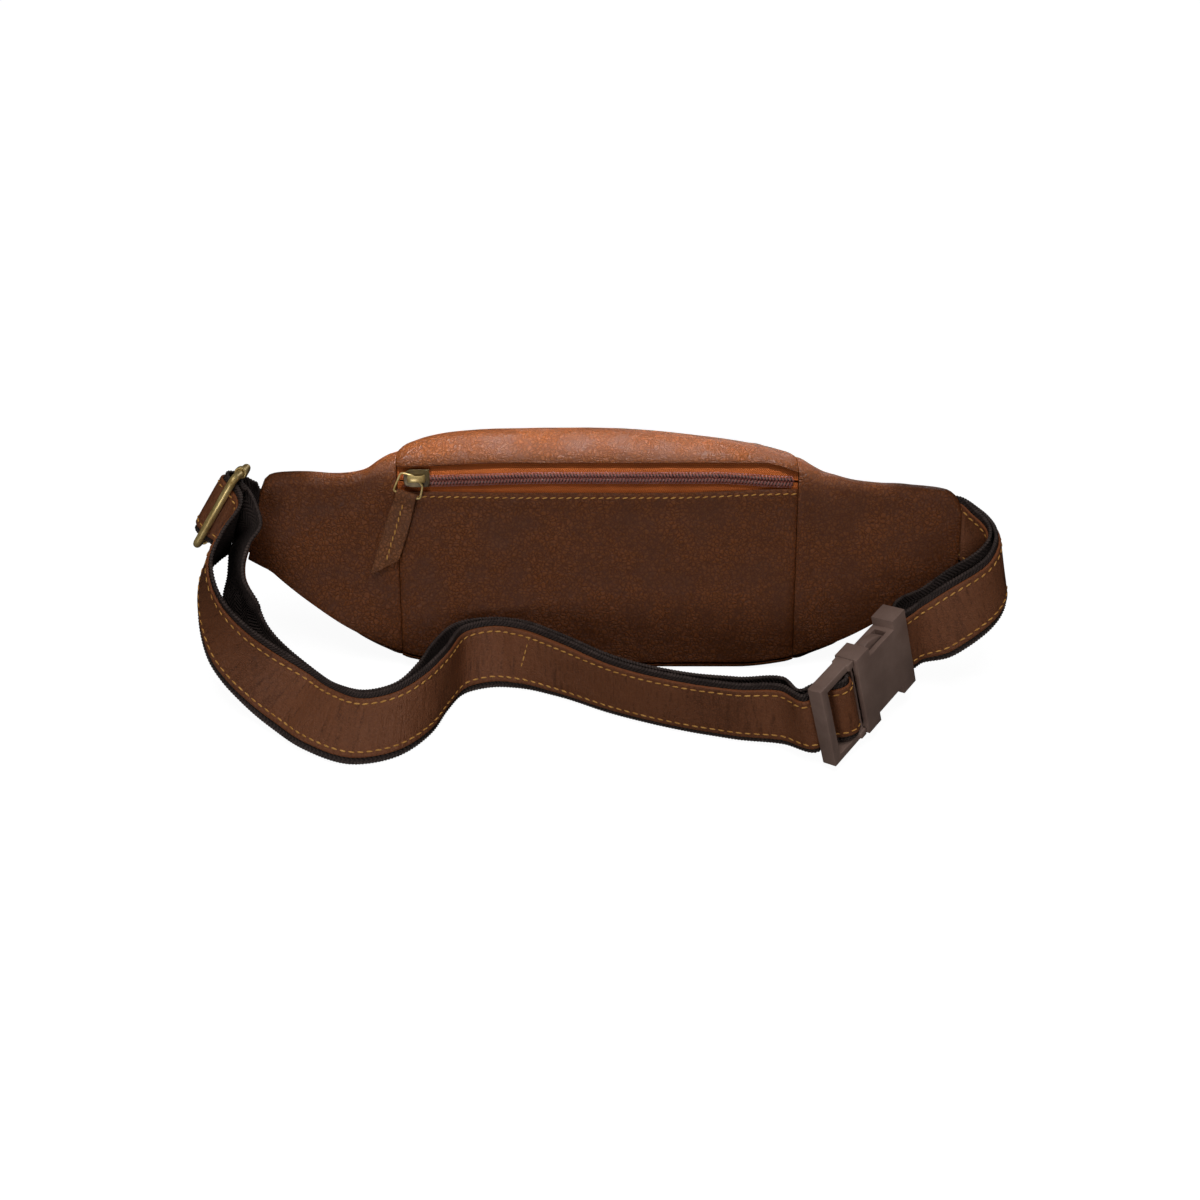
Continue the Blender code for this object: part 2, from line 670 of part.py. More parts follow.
def buckle_frame():
    """Return the buckle's frame: along it, up its width, out of its outer face."""
    flat = vec(math.sin(BUCKLE_TURN), -math.cos(BUCKLE_TURN), 0.0)
    ahead = vec(math.cos(BUCKLE_TURN), math.sin(BUCKLE_TURN), 0.0)
    along = math.cos(BUCKLE_PITCH) * ahead + math.sin(BUCKLE_PITCH) * vec(0.0, 0.0, 1.0)
    up = math.cos(BUCKLE_ROLL) * np.cross(flat, along) - math.sin(BUCKLE_ROLL) * flat
    return Frame(BUCKLE_ORIGIN, along, up)


def build_buckle():
    """Add the plug, its prongs and the socket."""
    frame = buckle_frame()
    plug = [
        (0.0, 5.6, -24.5, 24.5, -4.0, 4.0), (0.0, 24.0, 20.2, 24.5, -4.0, 4.0),
        (0.0, 24.0, -24.5, -20.2, -4.0, 4.0), (18.3, 21.7, -20.2, 20.2, -1.7, 1.7),
        (24.0, 28.7, 20.2, 24.5, -5.0, 5.0), (24.0, 28.7, -24.5, -20.2, -5.0, 5.0),
        (27.3, 28.7, -20.2, 20.2, -5.0, 3.4), (28.7, 52.0, -4.0, 4.0, -2.3, 2.3)]
    verts, faces = box_union(plug)
    add_object("buckle_plug", frame.all(verts), faces, "buckle", frame.out((PLUG_BAR_L, 0.0, 0.0)), True)
    arm = [
        (29.1, 10.5), (29.1, 14.5), (42.5, 17.8), (43.0, 22.0), (47.0, 22.6), (56.0, 20.5), (61.0, 16.5),
        (61.0, 13.5), (50.0, 12.8)]
    for side, sign in (("upper", 1.0), ("lower", -1.0)):
        outline = [(l, sign * w) for l, w in arm]
        verts, faces = prism(outline, -2.6, 2.6)
        pivot = frame.out((PRONG_HINGE[0], sign * PRONG_HINGE[1], 0.0))
        add_object("plug_prong_" + side, frame.all(verts), faces, "buckle", pivot)
    socket = [(29.2, 77.0, -24.0, 24.0, -6.5, 6.5)]
    holes = [
        (29.2, 62.0, -19.0, 19.0, -3.6, 3.6), (41.0, 65.0, 18.8, 24.0, -6.5, 6.5),
        (41.0, 65.0, -24.0, -18.8, -6.5, 6.5), (66.5, 70.8, -20.2, 20.2, -5.1, 5.1),
        (70.8, 73.2, -20.2, 20.2, -5.1, -1.2), (70.8, 73.2, -20.2, 20.2, 1.2, 5.1),
        (73.2, 77.0, -20.2, 20.2, -5.1, 5.1)]
    verts, faces = box_union(socket, holes)
    add_object("buckle_socket", frame.all(verts), faces, "buckle", merge=True)


def adjuster_frame():
    """Return the adjuster's frame: along the strap's run, along its bars, out of its plane."""
    return Frame(ADJUSTER_CENTRE, ADJUSTER_RUN_DIR, ADJUSTER_BAR_DIR, True)


def build_adjuster():
    """Add the wire frame and its centre bar."""
    frame = adjuster_frame()
    corner = 4.0
    loop = []
    for sx, sy, start in ((1, 1, 0), (-1, 1, 90), (-1, -1, 180), (1, -1, 270)):
        for k in range(5):
            angle = math.radians(start + 22.5 * k)
            g = sx * (ADJUSTER_PITCH - corner) + corner * math.cos(angle)
            w = sy * (ADJUSTER_HALF - corner) + corner * math.sin(angle)
            loop.append(frame.out((g, w, 0.0)))
    verts, faces = rod(loop, ADJUSTER_WIRE, 8, True, frame.ez)
    add_object("adjuster_frame", verts, faces, "brass")
    hole = 2.25
    wall = 3.4
    reach = 19.4
    boxes = [(-1.2, 1.2, -reach, reach, -1.2, 1.2)]
    holes = []
    for sign in (1.0, -1.0):
        span = sorted((sign * reach, sign * (ADJUSTER_HALF + wall)))
        boxes.append((-1.9, 1.9, span[0], span[1], -wall, wall))
        span = sorted((sign * (ADJUSTER_HALF - hole), sign * (ADJUSTER_HALF + hole)))
        holes.append((-1.9, 1.9, span[0], span[1], -hole, hole))
    verts, faces = box_union(boxes, holes)
    add_object("adjuster_bar", frame.all(verts), faces, "brass", merge=True)


def route_strands(rows, towards):
    """Return the outer and inner strand of a route as rows of centre and width direction.

    Args:
        rows: lower edge point, width direction and distance between the strands.
        towards: 1 when the rows run in the strap's own direction on the outer strand, else -1.
    """
    widths = [unit(vec(*row[3:6])) for row in rows]
    centres = [vec(*row[:3]) + w * WEBBING_WIDTH / 2.0 for row, w in zip(rows, widths)]
    outer = []
    inner = []
    for i, (centre, w) in enumerate(zip(centres, widths)):
        ahead = centres[min(i + 1, len(centres) - 1)] - centres[max(i - 1, 0)]
        normal = unit(np.cross(towards * ahead, w))
        outer.append((centre, w))
        inner.append((centre - rows[i][6] * normal, w))
    return outer, inner


def turn_round(frame, along, radius, start, end, steps):
    """Return stations round a bar; angles are in degrees from the run towards the outer face."""
    out = []
    for k in range(steps + 1):
        angle = math.radians(start + (end - start) * k / steps)
        place = (along + radius * math.cos(angle), 0.0, radius * math.sin(angle))
        out.append((frame.out(place), frame.ey))
    return out


def weave_rows(frame, places, width):
    """Return stations in the adjuster, turning towards the given width direction."""
    out = []
    for g, h, turn in places:
        out.append((frame.out((g, 0.0, h)), unit(frame.ey + (width - frame.ey) * turn)))
    return out


def long_strap_stations():
    """Return the long strap's stations from the left wing to its sewn end."""
    weave = adjuster_frame()
    buckle = buckle_frame()
    outer, inner = route_strands(LONG_ROUTE, 1.0)
    slope = unit(rear_point(0.0, 1.0, 0.0))
    rows = [(rear_point(x, 83.4, 3.7), slope) for x in (-168.0, -178.0, -188.0)]
    rows.append((vec(*LEFT_EXIT[:3]), unit(vec(*LEFT_EXIT[3:]))))
    rows += weave_rows(weave, WEAVE_OUTER, outer[0][1])
    rows += outer
    rows += [(buckle.out((l, 0.0, t)), buckle.ey) for l, t in PLUG_IN]
    rows += turn_round(buckle, PLUG_BAR_L, 4.6, 130.0, -90.0, 6)
    rows += [(buckle.out((l, 0.0, t)), buckle.ey) for l, t in PLUG_OUT]
    rows += list(reversed(inner[5:]))
    rows += [(vec(*row[:3]), unit(vec(*row[3:]))) for row in INNER_TOP]
    rows += weave_rows(weave, WEAVE_INNER, rows[-1][1])
    rows += turn_round(weave, 0.0, 2.5, -110.0, 130.0, 6)
    rows += weave_rows(weave, WEAVE_END, outer[0][1])
    return rows


def short_strap_stations():
    """Return the short strap's stations from the right wing round the socket's bar and back."""
    buckle = buckle_frame()
    outer, inner = route_strands(SHORT_ROUTE, -1.0)
    slope = unit(rear_point(0.0, 1.0, 0.0))
    rows = [(rear_point(x, 78.8, 4.3), slope) for x in (172.0, 184.0, 198.5)]
    rows += inner
    rows += [(buckle.out((l, 0.0, t)), buckle.ey) for l, t in SOCKET_IN]
    rows += turn_round(buckle, SOCKET_BAR_L, 2.6, -90.0, -270.0, 5)
    rows += [(buckle.out((l, 0.0, t)), buckle.ey) for l, t in SOCKET_OUT]
    rows += list(reversed(outer))
    rows += [(rear_point(x, 78.8, 6.3), slope) for x in (198.5, 184.0, 172.0)]
    return rows


def strap_path(stations):
    """Return centre, width direction and leather side at fine steps along a strap."""
    rows = [np.concatenate([centre, w]) for centre, w in stations]
    fine = spline(rows, 2)
    out = []
    for i, row in enumerate(fine):
        along = fine[min(i + 1, len(fine) - 1)][:3] - fine[max(i - 1, 0)][:3]
        w = unit(row[3:])
        normal = unit(np.cross(along, w))
        centre = row[:3].copy()
        lowest = centre[2] - w[2] * WEBBING_WIDTH / 2.0
        lowest += min(-WEBBING_HALF * abs(normal[2]), STRIP_SPAN[1] * normal[2] + 3.5 * w[2])
        centre[2] += max(0.0, FLOOR_GAP - lowest)
        out.append((centre, w, normal))
    return out


def build_strap(label, stations):
    """Add a strap's webbing and its leather facing."""
    path = strap_path(stations)
    edge = WEBBING_WIDTH / 2.0
    strip = STRIP_WIDTH / 2.0
    for part, across, span, finish in (
            ("webbing", (-edge, -strip, strip, edge), (-WEBBING_HALF, WEBBING_HALF), "webbing"),
            ("leather", (-strip, strip), STRIP_SPAN, "strip")):
        back = []
        face = []
        for centre, w, normal in path:
            back.append([centre + w * a + normal * span[0] for a in across])
            face.append([centre + w * a + normal * span[1] for a in across])
        verts, faces = sheet_solid(face, back)
        add_object(label + "_strap_" + part, verts, faces, finish)


for old in list(bpy.data.objects):
    bpy.data.objects.remove(old, do_unlink=True)

ROOT = bpy.data.objects.new("pack", None)
ROOT.location = (0.0, -BASE_CENTRE_Y * MM, 0.0)
bpy.context.scene.collection.objects.link(ROOT)

build_shell()
build_linings()
build_zip(
    "rear", rear_zip_frame(), REAR_ZIP_X, lambda x: 12.8, lambda x: yoke_low(x) - ZIP_S - 0.3,
    REAR_SLIDER_X)
build_zip(
    "main", main_zip_frame(), MAIN_ZIP_X, lambda x: 8.0, lambda x: 8.0, MAIN_SLIDER_X)
build_buckle()
build_adjuster()
build_strap("long", long_strap_stations())
build_strap("short", short_strap_stations())
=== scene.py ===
"""Leather waist pack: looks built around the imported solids.

Sizes are millimetres in the pack's own frame: X along the zips, Y from the wearer to the
front with the rear lower edge at zero, Z up. Meshes are written in metres, with the middle of
the base at the origin.
"""
import json
import logging
import math
from dataclasses import dataclass, field
from enum import Enum
from typing import Callable, Dict, List, Optional, Sequence, Tuple

import bmesh
import bpy
import numpy as np
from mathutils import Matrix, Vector, noise

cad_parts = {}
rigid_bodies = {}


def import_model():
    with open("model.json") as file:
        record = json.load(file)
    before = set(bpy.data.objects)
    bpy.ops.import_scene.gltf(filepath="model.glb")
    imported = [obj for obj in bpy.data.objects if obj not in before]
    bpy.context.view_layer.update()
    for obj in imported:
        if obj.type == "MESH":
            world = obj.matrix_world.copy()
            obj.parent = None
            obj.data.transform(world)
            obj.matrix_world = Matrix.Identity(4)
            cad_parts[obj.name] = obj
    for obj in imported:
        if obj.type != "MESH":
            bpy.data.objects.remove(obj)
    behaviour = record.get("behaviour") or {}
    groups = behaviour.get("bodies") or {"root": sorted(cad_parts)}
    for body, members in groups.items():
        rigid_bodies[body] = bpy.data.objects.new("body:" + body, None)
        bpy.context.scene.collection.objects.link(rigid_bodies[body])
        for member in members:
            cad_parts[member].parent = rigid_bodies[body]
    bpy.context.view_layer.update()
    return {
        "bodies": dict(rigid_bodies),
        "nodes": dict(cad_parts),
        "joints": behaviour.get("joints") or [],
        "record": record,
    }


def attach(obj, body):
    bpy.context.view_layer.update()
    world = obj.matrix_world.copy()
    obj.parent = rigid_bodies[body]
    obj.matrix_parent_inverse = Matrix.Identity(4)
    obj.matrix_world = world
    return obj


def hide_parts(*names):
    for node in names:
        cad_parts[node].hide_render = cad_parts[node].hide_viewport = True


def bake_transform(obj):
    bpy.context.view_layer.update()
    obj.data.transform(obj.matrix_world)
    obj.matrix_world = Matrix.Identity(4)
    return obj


LOG = logging.getLogger("waist_pack")
MM = 0.001
BASE_CENTRE_Y = 42.5
REAR_LEAN = math.radians(25.0)
LEFT_SEAM_X = -112.5
RIGHT_SEAM_X = 107.6
PACK_BODY = "pack"

Point = np.ndarray
Faces = List[Tuple[int, ...]]
Socket = bpy.types.NodeSocket


class Coordinates(Enum):
    """Where a finish reads its pattern from."""

    OBJECT = "Object"
    UV = "UV"


class Repeat(Enum):
    """Small shapes that repeat along a line."""

    STITCH = "stitch"
    TOOTH = "tooth"


def vec(*values: float) -> Point:
    """Return an array of floats."""
    return np.array(values, float)


def unit(v: Point) -> Point:
    """Return v scaled to length one."""
    return v / np.linalg.norm(v)


def smooth(t: float) -> float:
    """Return a smooth step of t between 0 and 1."""
    t = min(max(t, 0.0), 1.0)
    return t * t * (3.0 - 2.0 * t)


def bell(distance: float, width: float) -> float:
    """Return a bell curve of the given half width."""
    return math.exp(-(distance / width) ** 2)


def spline_point(p0: Point, p1: Point, p2: Point, p3: Point, t: float) -> Point:
    """Return the point at share t between p1 and p2; uneven steps don't swing out."""
    d0 = max(np.linalg.norm(p1 - p0), 1e-6)
    d1 = max(np.linalg.norm(p2 - p1), 1e-6)
    d2 = max(np.linalg.norm(p3 - p2), 1e-6)
    start = ((p1 - p0) / d0 * d1 + (p2 - p1) / d1 * d0) / (d0 + d1) * d1
    end = ((p2 - p1) / d1 * d2 + (p3 - p2) / d2 * d1) / (d1 + d2) * d1
    h1 = 2.0 * t ** 3 - 3.0 * t ** 2 + 1.0
    h2 = t ** 3 - 2.0 * t ** 2 + t
    h3 = -2.0 * t ** 3 + 3.0 * t ** 2
    h4 = t ** 3 - t ** 2
    return h1 * p1 + h2 * start + h3 * p2 + h4 * end


def spline(points: Sequence[Point], steps: int) -> List[Point]:
    """Return a smooth curve through the rows of points, with some steps for each span."""
    pts = [np.asarray(p, float) for p in points]
    pts = [2.0 * pts[0] - pts[1]] + pts + [2.0 * pts[-1] - pts[-2]]
    out = []
    for i in range(1, len(pts) - 2):
        for k in range(steps):
            out.append(spline_point(pts[i - 1], pts[i], pts[i + 1], pts[i + 2], k / steps))
    out.append(pts[-2])
    return out


def ripple(point: Point, size: float, shift: float = 0.0) -> float:
    """Return smooth noise at a point, with waves of about the given size."""
    return noise.noise(Vector((point[0] / size + shift, point[1] / size, point[2] / size)))


def to_metres(verts: Sequence[Point]) -> np.ndarray:
    """Return points in metres about the middle of the base."""
    pts = np.array(verts, float).reshape(-1, 3)
    pts[:, 1] -= BASE_CENTRE_Y
    return pts * MM


@dataclass
class LocalFrame:
    """A local frame: origin and three directions, the third turned over when flip is set."""

    origin: Point
    ex: Point
    ey: Point
    flip: bool = False
    ez: Point = field(init=False)

    def __post_init__(self) -> None:
        """Square the three directions up."""
        self.origin = np.asarray(self.origin, float)
        self.ex = unit(np.asarray(self.ex, float))
        self.ez = unit(np.cross(self.ex, np.asarray(self.ey, float)))
        self.ey = np.cross(self.ez, self.ex)
        if self.flip:
            self.ez = -self.ez

    def out(self, p: Sequence[float]) -> Point:
        """Return a local point in pack coordinates."""
        return self.origin + p[0] * self.ex + p[1] * self.ey + p[2] * self.ez

    def all(self, verts: Sequence[Sequence[float]]) -> List[Point]:
        """Return local points in pack coordinates."""
        return [self.out(p) for p in verts]


class Graph:
    """Short calls for building one material's nodes."""

    def __init__(self, name: str) -> None:
        """Start a material with an empty shader.

        Args:
            name: material name.
        """
        self.material = bpy.data.materials.new(name)
        self.material.use_nodes = True
        self.tree = self.material.node_tree
        self.shader = self.tree.nodes["Principled BSDF"]

    def add(self, kind: str, inputs: Optional[Dict] = None, **props: object) -> bpy.types.Node:
        """Add a node.

        Args:
            kind: node type.
            inputs: values or sockets by input name or number.
            props: node properties.
        Returns:
            The node.
        """
        node = self.tree.nodes.new(kind)
        for key, value in props.items():
            setattr(node, key, value)
        for key, value in (inputs or {}).items():
            self.feed(node.inputs[key], value)
        return node

    def feed(self, target: Socket, value: object) -> None:
        """Link a socket to a target, or set the target's value."""
        if isinstance(value, bpy.types.NodeSocket):
            self.tree.links.new(value, target)
        else:
            target.default_value = value

    def coordinates(self, source: Coordinates) -> Socket:
        """Return a coordinate output."""
        return self.add("ShaderNodeTexCoord").outputs[source.value]

    def noise(self, at: Socket, scale: float, detail: float = 3.0, rough: float = 0.5) -> Socket:
        """Return a noise value."""
        node = self.add("ShaderNodeTexNoise", {
            "Vector": at, "Scale": scale, "Detail": detail, "Roughness": rough})
        return node.outputs["Fac"]

    def cells(self, at: Socket, scale: float, feature: str = "DISTANCE_TO_EDGE") -> Socket:
        """Return a cell pattern's distance."""
        node = self.add("ShaderNodeTexVoronoi", {"Vector": at, "Scale": scale}, feature=feature)
        return node.outputs["Distance"]

    def maths(self, kind: str, a: object, b: object = 0.0, c: object = 0.0) -> Socket:
        """Return the result of a calculation."""
        return self.add("ShaderNodeMath", {0: a, 1: b, 2: c}, operation=kind).outputs[0]

    def span(self, value: Socket, low: float, high: float, to_low: float, to_high: float) -> Socket:
        """Return a value mapped from one range to another, clamped."""
        node = self.add("ShaderNodeMapRange", {
            "Value": value, "From Min": low, "From Max": high, "To Min": to_low, "To Max": to_high})
        return node.outputs["Result"]

    def mix(self, share: object, a: object, b: object, blend: str = "MIX") -> Socket:
        """Return a mix of two colours."""
        node = self.add("ShaderNodeMix", data_type="RGBA", blend_type=blend)
        self.feed(node.inputs[0], share)
        self.feed(node.inputs[6], a)
        self.feed(node.inputs[7], b)
        return node.outputs[2]

    def bump(self, height: Socket, strength: float, distance: float, normal: Optional[Socket] = None) -> Socket:
        """Return a normal from a height."""
        node = self.add("ShaderNodeBump", {"Height": height, "Strength": strength, "Distance": distance})
        if normal is not None:
            self.feed(node.inputs["Normal"], normal)
        return node.outputs["Normal"]

    def shade(self, **values: object) -> bpy.types.Material:
        """Set the shader's inputs, with underscores for spaces, and return the material."""
        for key, value in values.items():
            self.feed(self.shader.inputs[key.replace("_", " ")], value)
        return self.material


Colour = Tuple[float, float, float, float]


def rgb(red: int, green: int, blue: int) -> Colour:
    """Return a linear colour from screen values of 0 to 255."""
    out = []
    for value in (red, green, blue):
        share = value / 255.0
        out.append(share / 12.92 if share <= 0.04045 else ((share + 0.055) / 1.055) ** 2.4)
    return (out[0], out[1], out[2], 1.0)


@dataclass(frozen=True)
class LeatherFinish:
    """Grained leather with cloudy dye, fine creases, painted shade in the grain pits and creases, and a raw edge."""

    name: str
    dark: Colour
    middle: Colour
    light: Colour
    raw_edge: Colour
    grain: float = 470.0
    depth: float = 0.0005
    roughness: Tuple[float, float] = (0.36, 0.5)
    creased: bool = False
    gloss: float = 0.3

    def material(self) -> bpy.types.Material:
        """Return the material; the rim attribute marks raw edges."""
        g = Graph(self.name)
        at = g.coordinates(Coordinates.OBJECT)
        cloud = g.noise(at, 14.0, 2.0, 0.5)
        mottle = g.noise(at, 650.0, 3.0, 0.6)
        base = g.mix(g.span(cloud, 0.3, 0.7, 0.75, 1.0), self.dark, self.middle)
        base = g.mix(g.span(mottle, 0.42, 0.66, 0.0, 0.3), base, self.light)
        warp = g.add("ShaderNodeTexNoise", {"Vector": at, "Scale": 260.0, "Detail": 2.0})
        bent = g.add("ShaderNodeMixRGB", {"Fac": 0.0035, "Color1": at, "Color2": warp.outputs["Color"]}).outputs[0]
        coarse = g.span(g.cells(bent, self.grain), 0.0, 0.24, 0.0, 1.0)
        fine = g.span(g.cells(bent, self.grain * 2.1), 0.0, 0.2, 0.0, 1.0)
        pores = g.noise(at, 2600.0, 2.0)
        patchy = g.span(g.noise(at, 55.0, 2.0), 0.35, 0.65, 0.45, 1.0)
        height = g.maths("MULTIPLY_ADD", fine, 0.45, coarse)
        height = g.maths("MULTIPLY", height, patchy)
        height = g.maths("MULTIPLY_ADD", pores, 0.35, height)
        if self.creased:
            strap = g.coordinates(Coordinates.UV)
            strap = g.add("ShaderNodeMapping", {"Vector": strap, "Scale": (1.0, 0.16, 1.0)}).outputs[0]
            bends = g.span(g.noise(strap, 420.0, 4.0, 0.62), 0.3, 0.62, 0.0, 1.0)
            where = g.span(g.noise(strap, 14.0, 2.0), 0.38, 0.62, 0.5, 2.6)
            height = g.maths("ADD", height, g.maths("MULTIPLY", bends, where))
        # Painted shade: the grain's low spots and the strap's creases are darkened towards a near-black colour,
        # following the bump height.
        pit_shade = g.mix(0.55, self.dark, (0.0, 0.0, 0.0, 1.0))
        creased = g.mix(g.span(height, 0.15, 1.35, 0.85, 0.0), base, pit_shade)
        rim = g.add("ShaderNodeAttribute", attribute_name="rim").outputs["Fac"]
        fibre = g.noise(at, 900.0, 4.0, 0.7)
        raw = g.mix(g.span(fibre, 0.3, 0.7, 0.0, 1.0), self.raw_edge, self.middle)
        colour = g.mix(g.span(rim, 0.35, 0.75, 0.0, 1.0), creased, raw)
        sheen = g.span(g.maths("MULTIPLY_ADD", mottle, 0.6, cloud), 0.5, 1.1, self.roughness[0], self.roughness[1])
        return g.shade(
            Base_Color=colour, Roughness=sheen, Specular_IOR_Level=self.gloss,
            Normal=g.bump(height, 0.7, self.depth))


@dataclass(frozen=True)
class WeaveFinish:
    """Woven tape: diagonal ribs that turn back at each band, over fine yarns."""

    name: str
    dark: Colour
    light: Colour
    source: Coordinates
    rib: float = 0.0016
    band: float = 0.0047
    yarn: float = 0.0009
    depth: float = 0.00035
    lean: float = 0.0

    def material(self) -> bpy.types.Material:
        """Return the material."""
        g = Graph(self.name)
        at = g.coordinates(self.source)
        if self.source is Coordinates.OBJECT:
            at = g.add("ShaderNodeMapping", {"Vector": at, "Rotation": (self.lean, 0.0, 0.0)}).outputs[0]
        parts = g.add("ShaderNodeSeparateXYZ", {0: at})
        along = parts.outputs[0]
        across = parts.outputs[1]
        turn = g.maths("PINGPONG", g.maths("ADD", across, 1.0), self.band)
        phase = g.maths("ADD", g.maths("DIVIDE", along, self.rib), g.maths("DIVIDE", turn, self.rib * 1.4))
        rib = g.maths("SINE", g.maths("MULTIPLY", phase, 2.0 * math.pi))
        yarn = g.maths("SINE", g.maths("MULTIPLY", across, 2.0 * math.pi / self.yarn))
        height = g.maths("MULTIPLY_ADD", yarn, 0.35, rib)
        fuzz = g.noise(at, 1800.0, 3.0, 0.6)
        height = g.maths("MULTIPLY_ADD", fuzz, 0.9, height)
        worn = g.noise(at, 60.0, 3.0)
        # Painted highlight and shade: raised ribs and yarns are coloured lighter and the grooves darker, following the
        # bump height; the worn noise is real wear.
        share = g.maths("MULTIPLY_ADD", worn, 0.5, g.span(height, -1.2, 2.0, 0.0, 0.7))
        colour = g.mix(g.span(share, 0.1, 1.0, 0.0, 1.0), self.dark, self.light)
        return g.shade(
            Base_Color=colour, Roughness=g.span(fuzz, 0.3, 0.7, 0.68, 0.9), Specular_IOR_Level=0.3,
            Normal=g.bump(height, 0.6, self.depth))


@dataclass(frozen=True)
class BrassFinish:
    """Antique brass: polished high spots and dark patina."""

    name: str
    bright: Colour
    patina: Colour

    def material(self) -> bpy.types.Material:
        """Return the material."""
        g = Graph(self.name)
        at = g.coordinates(Coordinates.OBJECT)
        cloud = g.noise(at, 160.0, 4.0, 0.6)
        speck = g.noise(at, 1400.0, 3.0, 0.6)
        share = g.span(g.maths("MULTIPLY_ADD", speck, 0.4, cloud), 0.5, 0.95, 0.0, 1.0)
        colour = g.mix(share, self.bright, self.patina)
        stretch = g.add("ShaderNodeMapping", {"Vector": at, "Scale": (0.15, 1.0, 1.0)}).outputs[0]
        scratch = g.noise(stretch, 3000.0, 2.0)
        return g.shade(
            Base_Color=colour, Metallic=0.45, Roughness=g.span(cloud, 0.35, 0.7, 0.3, 0.44),
            Normal=g.bump(scratch, 0.12, 0.0001))


@dataclass(frozen=True)
class PlasticFinish:
    """Moulded plastic with a fine spark texture and rubbed patches."""

    name: str
    dark: Colour
    light: Colour
    roughness: Tuple[float, float] = (0.42, 0.56)
    gloss: float = 0.25

    def material(self) -> bpy.types.Material:
        """Return the material."""
        g = Graph(self.name)
        at = g.coordinates(Coordinates.OBJECT)
        spark = g.noise(at, 2400.0, 2.0, 0.6)
        rub = g.noise(at, 45.0, 4.0, 0.6)
        colour = g.mix(g.span(g.maths("MULTIPLY_ADD", spark, 0.3, rub), 0.4, 0.95, 0.0, 1.0), self.dark, self.light)
        return g.shade(
            Base_Color=colour, Roughness=g.span(rub, 0.3, 0.7, self.roughness[0], self.roughness[1]),
            Specular_IOR_Level=self.gloss, Normal=g.bump(spark, 0.25, 0.0002))


@dataclass(frozen=True)
class ThreadFinish:
    """Twisted waxed thread."""

    name: str
    dark: Colour
    light: Colour

    def material(self) -> bpy.types.Material:
        """Return the material."""
        g = Graph(self.name)
        at = g.coordinates(Coordinates.OBJECT)
        twist = g.add("ShaderNodeTexWave", {
            "Vector": at, "Scale": 620.0, "Distortion": 2.0, "Detail": 1.0}, bands_direction="DIAGONAL")
        tone = g.noise(at, 130.0, 2.0)
        share = g.maths("MULTIPLY_ADD", twist.outputs["Fac"], 0.5, g.span(tone, 0.3, 0.7, 0.0, 0.5))
        return g.shade(
            Base_Color=g.mix(share, self.dark, self.light), Roughness=g.span(tone, 0.3, 0.7, 0.5, 0.65),
            Specular_IOR_Level=0.2, Normal=g.bump(twist.outputs["Fac"], 0.4, 0.0002))


@dataclass
class Wardrobe:
    """Every finish on the pack."""

    shell: bpy.types.Material = field(init=False)
    tab: bpy.types.Material = field(init=False)
    strip: bpy.types.Material = field(init=False)
    webbing: bpy.types.Material = field(init=False)
    selvage: bpy.types.Material = field(init=False)
    rear_tape: bpy.types.Material = field(init=False)
    main_tape: bpy.types.Material = field(init=False)
    lining: bpy.types.Material = field(init=False)
    coil: bpy.types.Material = field(init=False)
    buckle: bpy.types.Material = field(init=False)
    brass: bpy.types.Material = field(init=False)
    aged: bpy.types.Material = field(init=False)
    thread: bpy.types.Material = field(init=False)

    def __post_init__(self) -> None:
        """Make the materials."""
        raw = rgb(142, 76, 36)
        self.shell = LeatherFinish(
            "shell_leather", rgb(94, 46, 19), rgb(125, 68, 30), rgb(146, 86, 42), raw).material()
        self.tab = LeatherFinish(
            "tab_leather", rgb(108, 62, 34), rgb(142, 88, 52), rgb(164, 106, 66), raw).material()
        self.strip = LeatherFinish(
            "strip_leather", rgb(94, 52, 31), rgb(127, 77, 49), rgb(148, 96, 65), raw, 640.0, 0.0003,
            (0.42, 0.56), True, 0.25).material()
        self.webbing = WeaveFinish(
            "belt_webbing", rgb(12, 9, 8), rgb(72, 59, 55), Coordinates.UV, 0.0021, 0.0063, 0.0012, 0.0006).material()
        self.selvage = ThreadFinish("webbing_selvage", rgb(20, 16, 15), rgb(94, 79, 74)).material()
        for label, lean in (("rear", REAR_LEAN - math.pi / 2.0), ("main", -1.278 + math.pi)):
            tape = WeaveFinish(
                label + "_zip_tape", rgb(104, 46, 14), rgb(190, 98, 38), Coordinates.OBJECT, 0.0011, 0.0014,
                0.0014, 0.0003, lean).material()
            setattr(self, label + "_tape", tape)
        self.lining = WeaveFinish(
            "lining_cloth", rgb(58, 46, 36), rgb(104, 88, 72), Coordinates.OBJECT, 0.0007, 0.001, 0.0006,
            0.00015).material()
        self.coil = PlasticFinish(
            "zip_coil", rgb(132, 74, 66), rgb(152, 92, 82), (0.3, 0.36), 0.45).material()
        self.buckle = PlasticFinish("buckle_plastic", rgb(124, 100, 90), rgb(158, 131, 119), (0.4, 0.52), 0.4).material()
        self.brass = BrassFinish("antique_brass", rgb(232, 206, 140), rgb(164, 130, 70)).material()
        self.aged = BrassFinish("aged_brass", rgb(104, 86, 50), rgb(36, 27, 15)).material()
        self.thread = ThreadFinish("gold_thread", rgb(172, 108, 42), rgb(246, 188, 104)).material()


